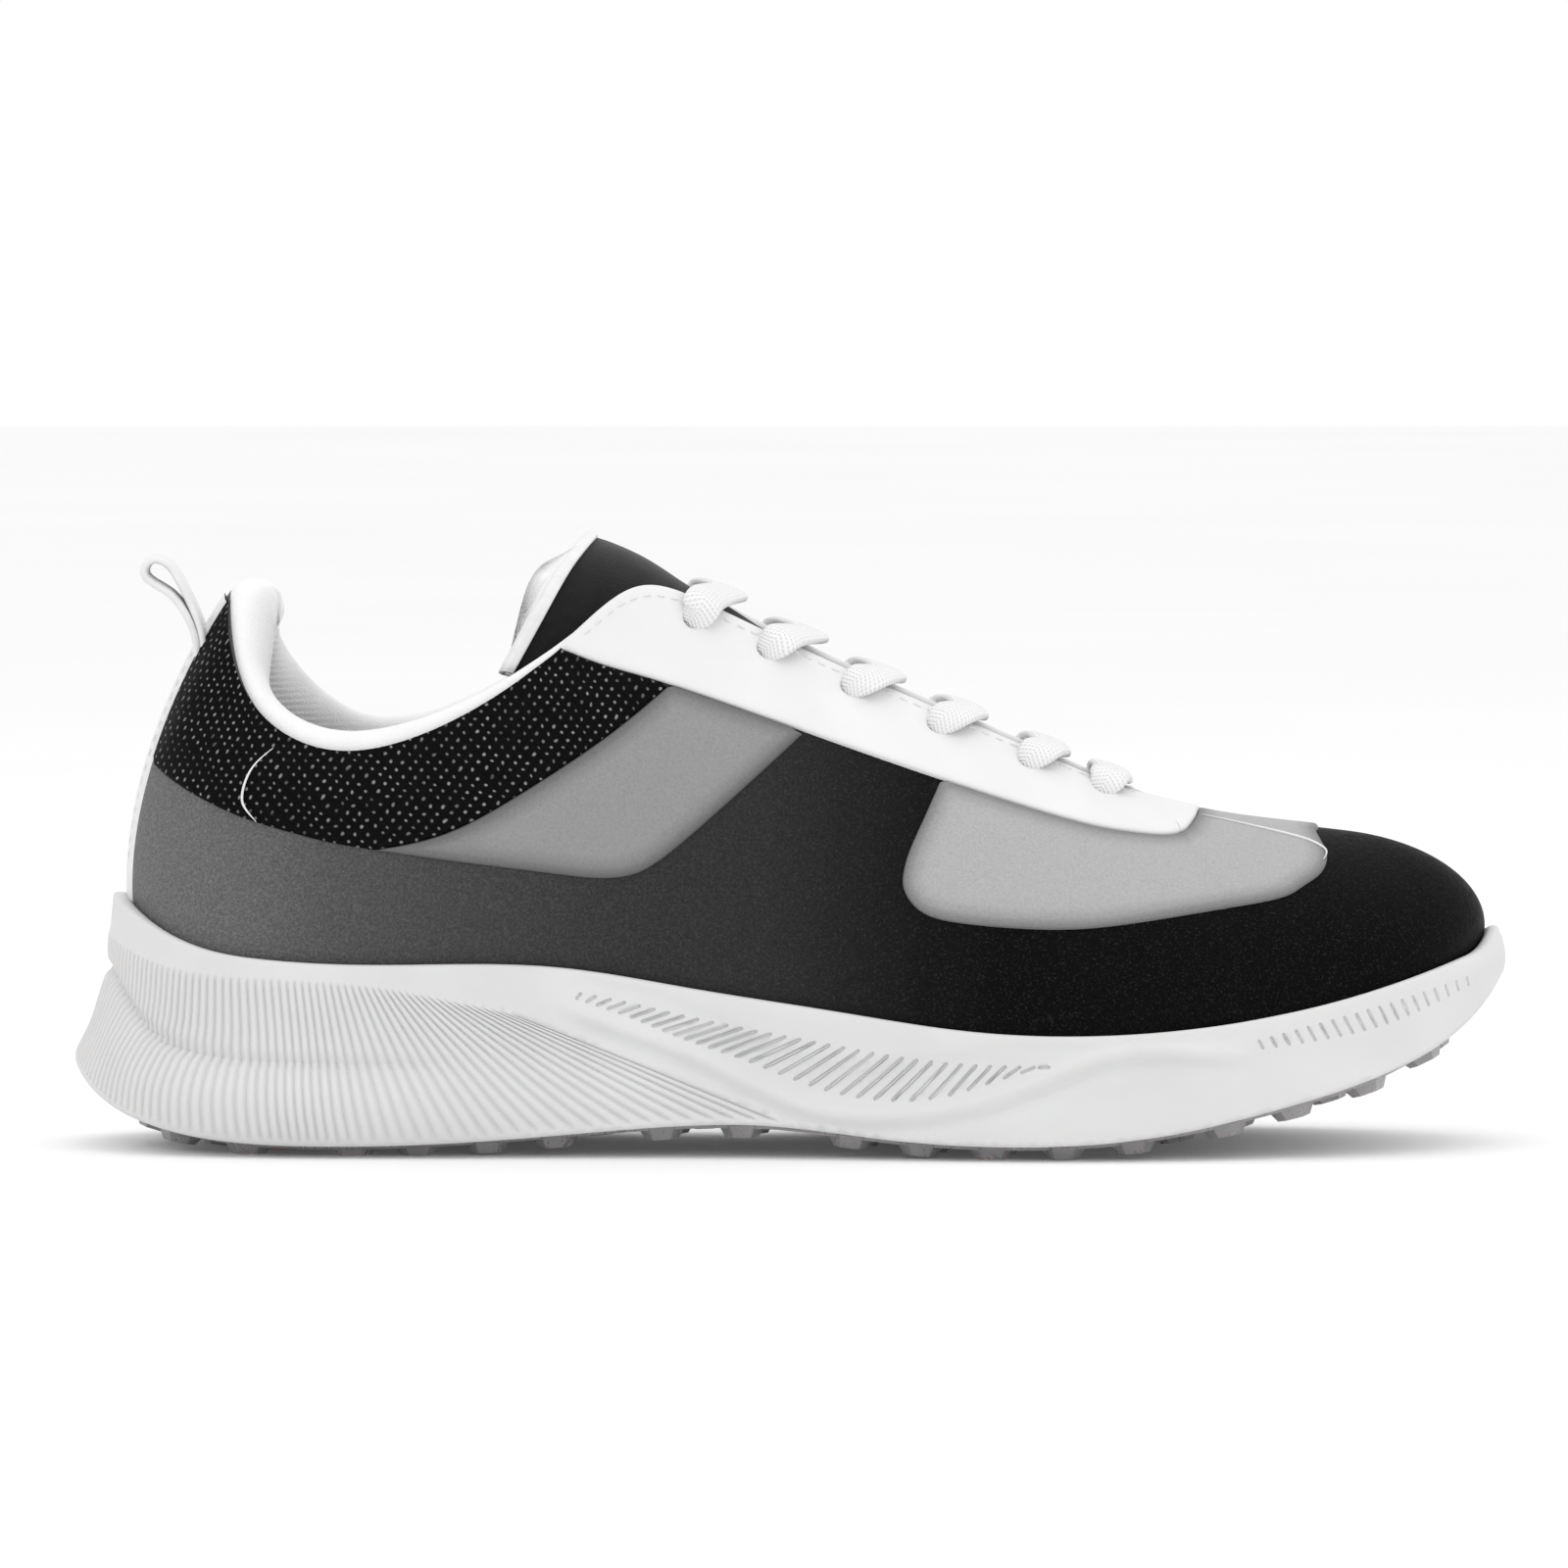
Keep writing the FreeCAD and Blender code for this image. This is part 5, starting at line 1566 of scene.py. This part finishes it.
def stitch_row(name, path, ups, length=2.2, gap=0.9, radius=0.24):
    """Row of stitches along a path of points: each a small capsule sunk at both ends."""
    points = []
    faces = []
    travelled = 0.0
    lengths = [0.0]
    for a, b in zip(path, path[1:]):
        travelled += (b - a).length
        lengths.append(travelled)
    track = Track([(s, *p, *u) for s, p, u in zip(lengths, path, ups)])
    count = int(travelled / (length + gap))
    for i in range(count):
        start = (i + 0.1) * (length + gap)
        sections = []
        for q, grow, lift in STITCH_SHAPE:
            row = track.at(start + length * q)
            ahead = track.at(start + length * q + 0.1)
            centre = Vector(row[:3])
            up = Vector(row[3:]).normalized()
            along = (Vector(ahead[:3]) - centre).normalized()
            side = along.cross(up).normalized()
            ring = []
            for k in range(STITCH_SIDES):
                angle = math.pi * k / 3
                ring.append(centre + up * (lift + radius * grow * math.sin(angle))
                            + side * (radius * grow * math.cos(angle)))
            sections.append(ring)
        begin = len(points)
        points += [p for ring in sections for p in ring]
        faces += tube_faces(len(STITCH_SHAPE), STITCH_SIDES, begin)
    return new_mesh(name, points, faces)


def surface_row(name, side, places, height, **look):
    path = [layer_point(side * u, v, -height) for u, v in places]
    ups = [normal(side * u, v) for u, v in places]
    return stitch_row(name, path, ups, **look)


def surface_line(name, side, run, height, radius):
    """Thin raised line on a panel, along a run in side view."""
    sections = []
    places = run_uv(side, run)
    path = [layer_point(side * u, v, -height) for u, v in places]
    for i, centre in enumerate(path):
        up = normal(side * places[i][0], places[i][1])
        along = path[min(i + 1, len(path) - 1)] - path[max(i - 1, 0)]
        across = along.cross(up).normalized()
        slim = radius * (0.25 + 0.75 * math.sin(math.pi * i / (len(path) - 1)))
        sections.append([centre + across * (slim * math.cos(a)) + up * (slim * math.sin(a))
                         for a in steps(0, 2 * math.pi, 8)[:-1]])
    return tube_mesh(name, sections)


# ---- stage ----------------------------------------------------------------------------------
VIEW_TARGET = (-0.0005, -0.003, 0.0755)
VIEW_DISTANCE = 2.73
VIEW_ELEVATION = 3.0
LENS = 300.0


def make_camera():
    data = bpy.data.cameras.new("camera")
    data.lens = LENS
    data.sensor_width = 36.0
    data.clip_start = 0.1
    camera = bpy.data.objects.new("camera", data)
    rise = math.radians(VIEW_ELEVATION)
    camera.location = (VIEW_TARGET[0], VIEW_TARGET[1] - VIEW_DISTANCE * math.cos(rise),
                       VIEW_TARGET[2] + VIEW_DISTANCE * math.sin(rise))
    camera.rotation_euler = (math.radians(90) - rise, 0, 0)
    bpy.context.scene.collection.objects.link(camera)
    bpy.context.scene.camera = camera


def area_light(name, place, aim, size, power):
    data = bpy.data.lights.new(name, "AREA")
    data.shape = "RECTANGLE"
    data.size = size[0]
    data.size_y = size[1]
    data.energy = power
    lamp = bpy.data.objects.new(name, data)
    lamp.location = place
    lamp.rotation_euler = (Vector(aim) - Vector(place)).to_track_quat("-Z", "Y").to_euler()
    bpy.context.scene.collection.objects.link(lamp)


def make_stage():
    world = bpy.data.worlds.new("studio")
    world.use_nodes = True
    world.node_tree.nodes["Background"].inputs["Color"].default_value = (1, 1, 1, 1)
    world.node_tree.nodes["Background"].inputs["Strength"].default_value = 1.0
    bpy.context.scene.world = world
    bpy.context.scene.view_settings.view_transform = "Standard"
    mesh = bpy.data.meshes.new("floor")
    size = 6.0
    mesh.from_pydata([(-size, -size, 0), (size, -size, 0), (size, size, 0), (-size, size, 0)], [],
                     [(0, 1, 2, 3)])
    floor = bpy.data.objects.new("floor", mesh)
    bpy.context.scene.collection.objects.link(floor)
    nodes = Nodes("floor")
    tone = nodes.patchy(3.0, 0.90, 0.92)
    nodes.shader.inputs["Emission Color"].default_value = (1, 1, 1, 1)
    nodes.shader.inputs["Emission Strength"].default_value = 0.04
    paint(floor, nodes.finish(tone, 0.9, Specular_IOR_Level=0.1))
    area_light("key", (-0.3, -0.9, 1.3), (0, 0, 0.05), (1.2, 0.8), 2.6)
    area_light("top", (0.2, 0.2, 1.4), (0, 0, 0.05), (1.4, 1.0), 3.0)
    area_light("front", (0.9, -1.0, 0.5), (0.02, 0, 0.05), (0.5, 0.8), 0.9)


# ---- build ----------------------------------------------------------------------------------
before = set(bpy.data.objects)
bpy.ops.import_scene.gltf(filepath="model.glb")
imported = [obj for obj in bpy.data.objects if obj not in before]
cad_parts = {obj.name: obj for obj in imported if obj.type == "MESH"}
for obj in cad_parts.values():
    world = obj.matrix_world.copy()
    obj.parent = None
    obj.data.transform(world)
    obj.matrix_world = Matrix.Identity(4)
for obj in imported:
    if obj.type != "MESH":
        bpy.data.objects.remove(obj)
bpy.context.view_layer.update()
make_camera()
make_stage()

leather_black = black_leather()
leather_vamp = grey_leather("grey_leather", 0.41)
leather_midfoot = grey_leather("grey_leather_midfoot", 0.28)
leather_white = white_leather()
textile_dotted = dotted_textile()
tape = webbing()
lining = knit("white_textile", 0.88, 0.80)
tongue_knit = knit("tongue_black", 0.007, 0.003)
lace_material = lace_weave()
foam_white = moulded_foam()
rubber = lug_rubber()
sewing = thread()
sock = knit("insole_textile", 0.62, 0.5)
fibre = board_fibre("board", (0.42, 0.36, 0.28), (0.34, 0.29, 0.22))
stiff = board_fibre("stiffener", (0.5, 0.5, 0.48), (0.4, 0.4, 0.38))


def place(piece, material, body, *nodes, slot=None):
    paint(piece, material)
    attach(piece, body)
    if nodes:
        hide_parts(*nodes)
    return piece


place(make_upper(), leather_black, "root", "upper_lateral", "upper_medial", slot="upper_black")
stay = weld(joined_keep("eyestay_leather", [make_eyestay(1), make_eyestay(-1)]))
place(stay, leather_white, "root", "eyestay", slot="white_leather")
vamp = weld(joined_keep("vamp_leather", [make_vamp(1), make_vamp(-1)]))
place(vamp, leather_vamp, "root", "vamp_panel", slot="grey_leather")
for side in (1, -1):
    label = side_name(side)
    place(make_midfoot(side), leather_midfoot, "root", "midfoot_panel_" + label, slot="grey_leather")
    place(make_collar_panel(side), textile_dotted, "root", "collar_panel_" + label,
          slot="dotted_textile")
place(make_heel_strip(), tape, "root", "heel_strip", slot="white_webbing")

collar = place(make_collar(), lining, "root", "collar_lining", "collar_foam", slot="white_textile")
insole = place(make_insole(), sock, "root", "insole", slot="insole_textile")

face_rows, tongue_face = make_tongue_face()
paint(tongue_face, tongue_knit)
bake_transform(tongue_face)
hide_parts("tongue_face", "tongue_tip_face")
pad = tongue_pillow("tongue_padding", face_rows, TONGUE_FACE + 0.02, TONGUE_DEEP, 0.5, puff=5.0)
paint(pad, lining)
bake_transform(pad)
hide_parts("tongue_foam", "tongue_tip_foam", "tongue_lining", "tongue_tip_lining")
place(make_binding(face_rows), tape, "tongue_tip", "tongue_binding", slot="white_webbing")

place(make_lace(), lace_material, "root", "lace", slot="white_lace")
place(make_midsole(), foam_white, "root", "midsole", slot="midsole_foam")

tab = make_pull_tab()
paint(tab, tape)
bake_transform(tab)
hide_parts("pull_tab")

shown = {"outsole": rubber, "insole_board": fibre, "heel_counter": stiff, "toe_puff": stiff,
         "eyelet_backing_lateral": stiff, "eyelet_backing_medial": stiff,
         "vamp_lining_lateral": lining, "vamp_lining_medial": lining}
for node, material in shown.items():
    paint(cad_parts[node], material)

ARC_LINE = [(-105.9, 83.6), (-110.2, 79.5), (-112.1, 74.4), (-111.5, 71.4), (-109.2, 68.7)]
TOE_LINE = [(86.4, 68.6), (93, 67.2), (100.8, 65.5), (107.6, 63.8), (111, 62.4), (112.2, 61.2),
            (111.4, 59.8)]
for side in (1, -1):
    label = side_name(side)
    arc = surface_line("collar_line_" + label, side, ARC_LINE, 1.75, 0.28)
    place(arc, sewing, "root", slot="white_webbing")
    front = surface_line("toe_line_" + label, side, TOE_LINE, 0.95, 0.3)
    place(front, sewing, "root", slot="white_webbing")
    row = [(u, 0.975) for u in steps(5.3, 10.8, 80)]
    stitches = surface_row("eyestay_stitches_" + label, side, row, 1.06)
    place(stitches, sewing, "root", slot="white_webbing")
    strip_row = [(STRIP_STATION * 0.7, v) for v in steps(0.36, 0.95, 60)]
    stitches = surface_row("heel_strip_stitches_" + label, side, strip_row, 0.65)
    place(stitches, sewing, "root", slot="white_webbing")
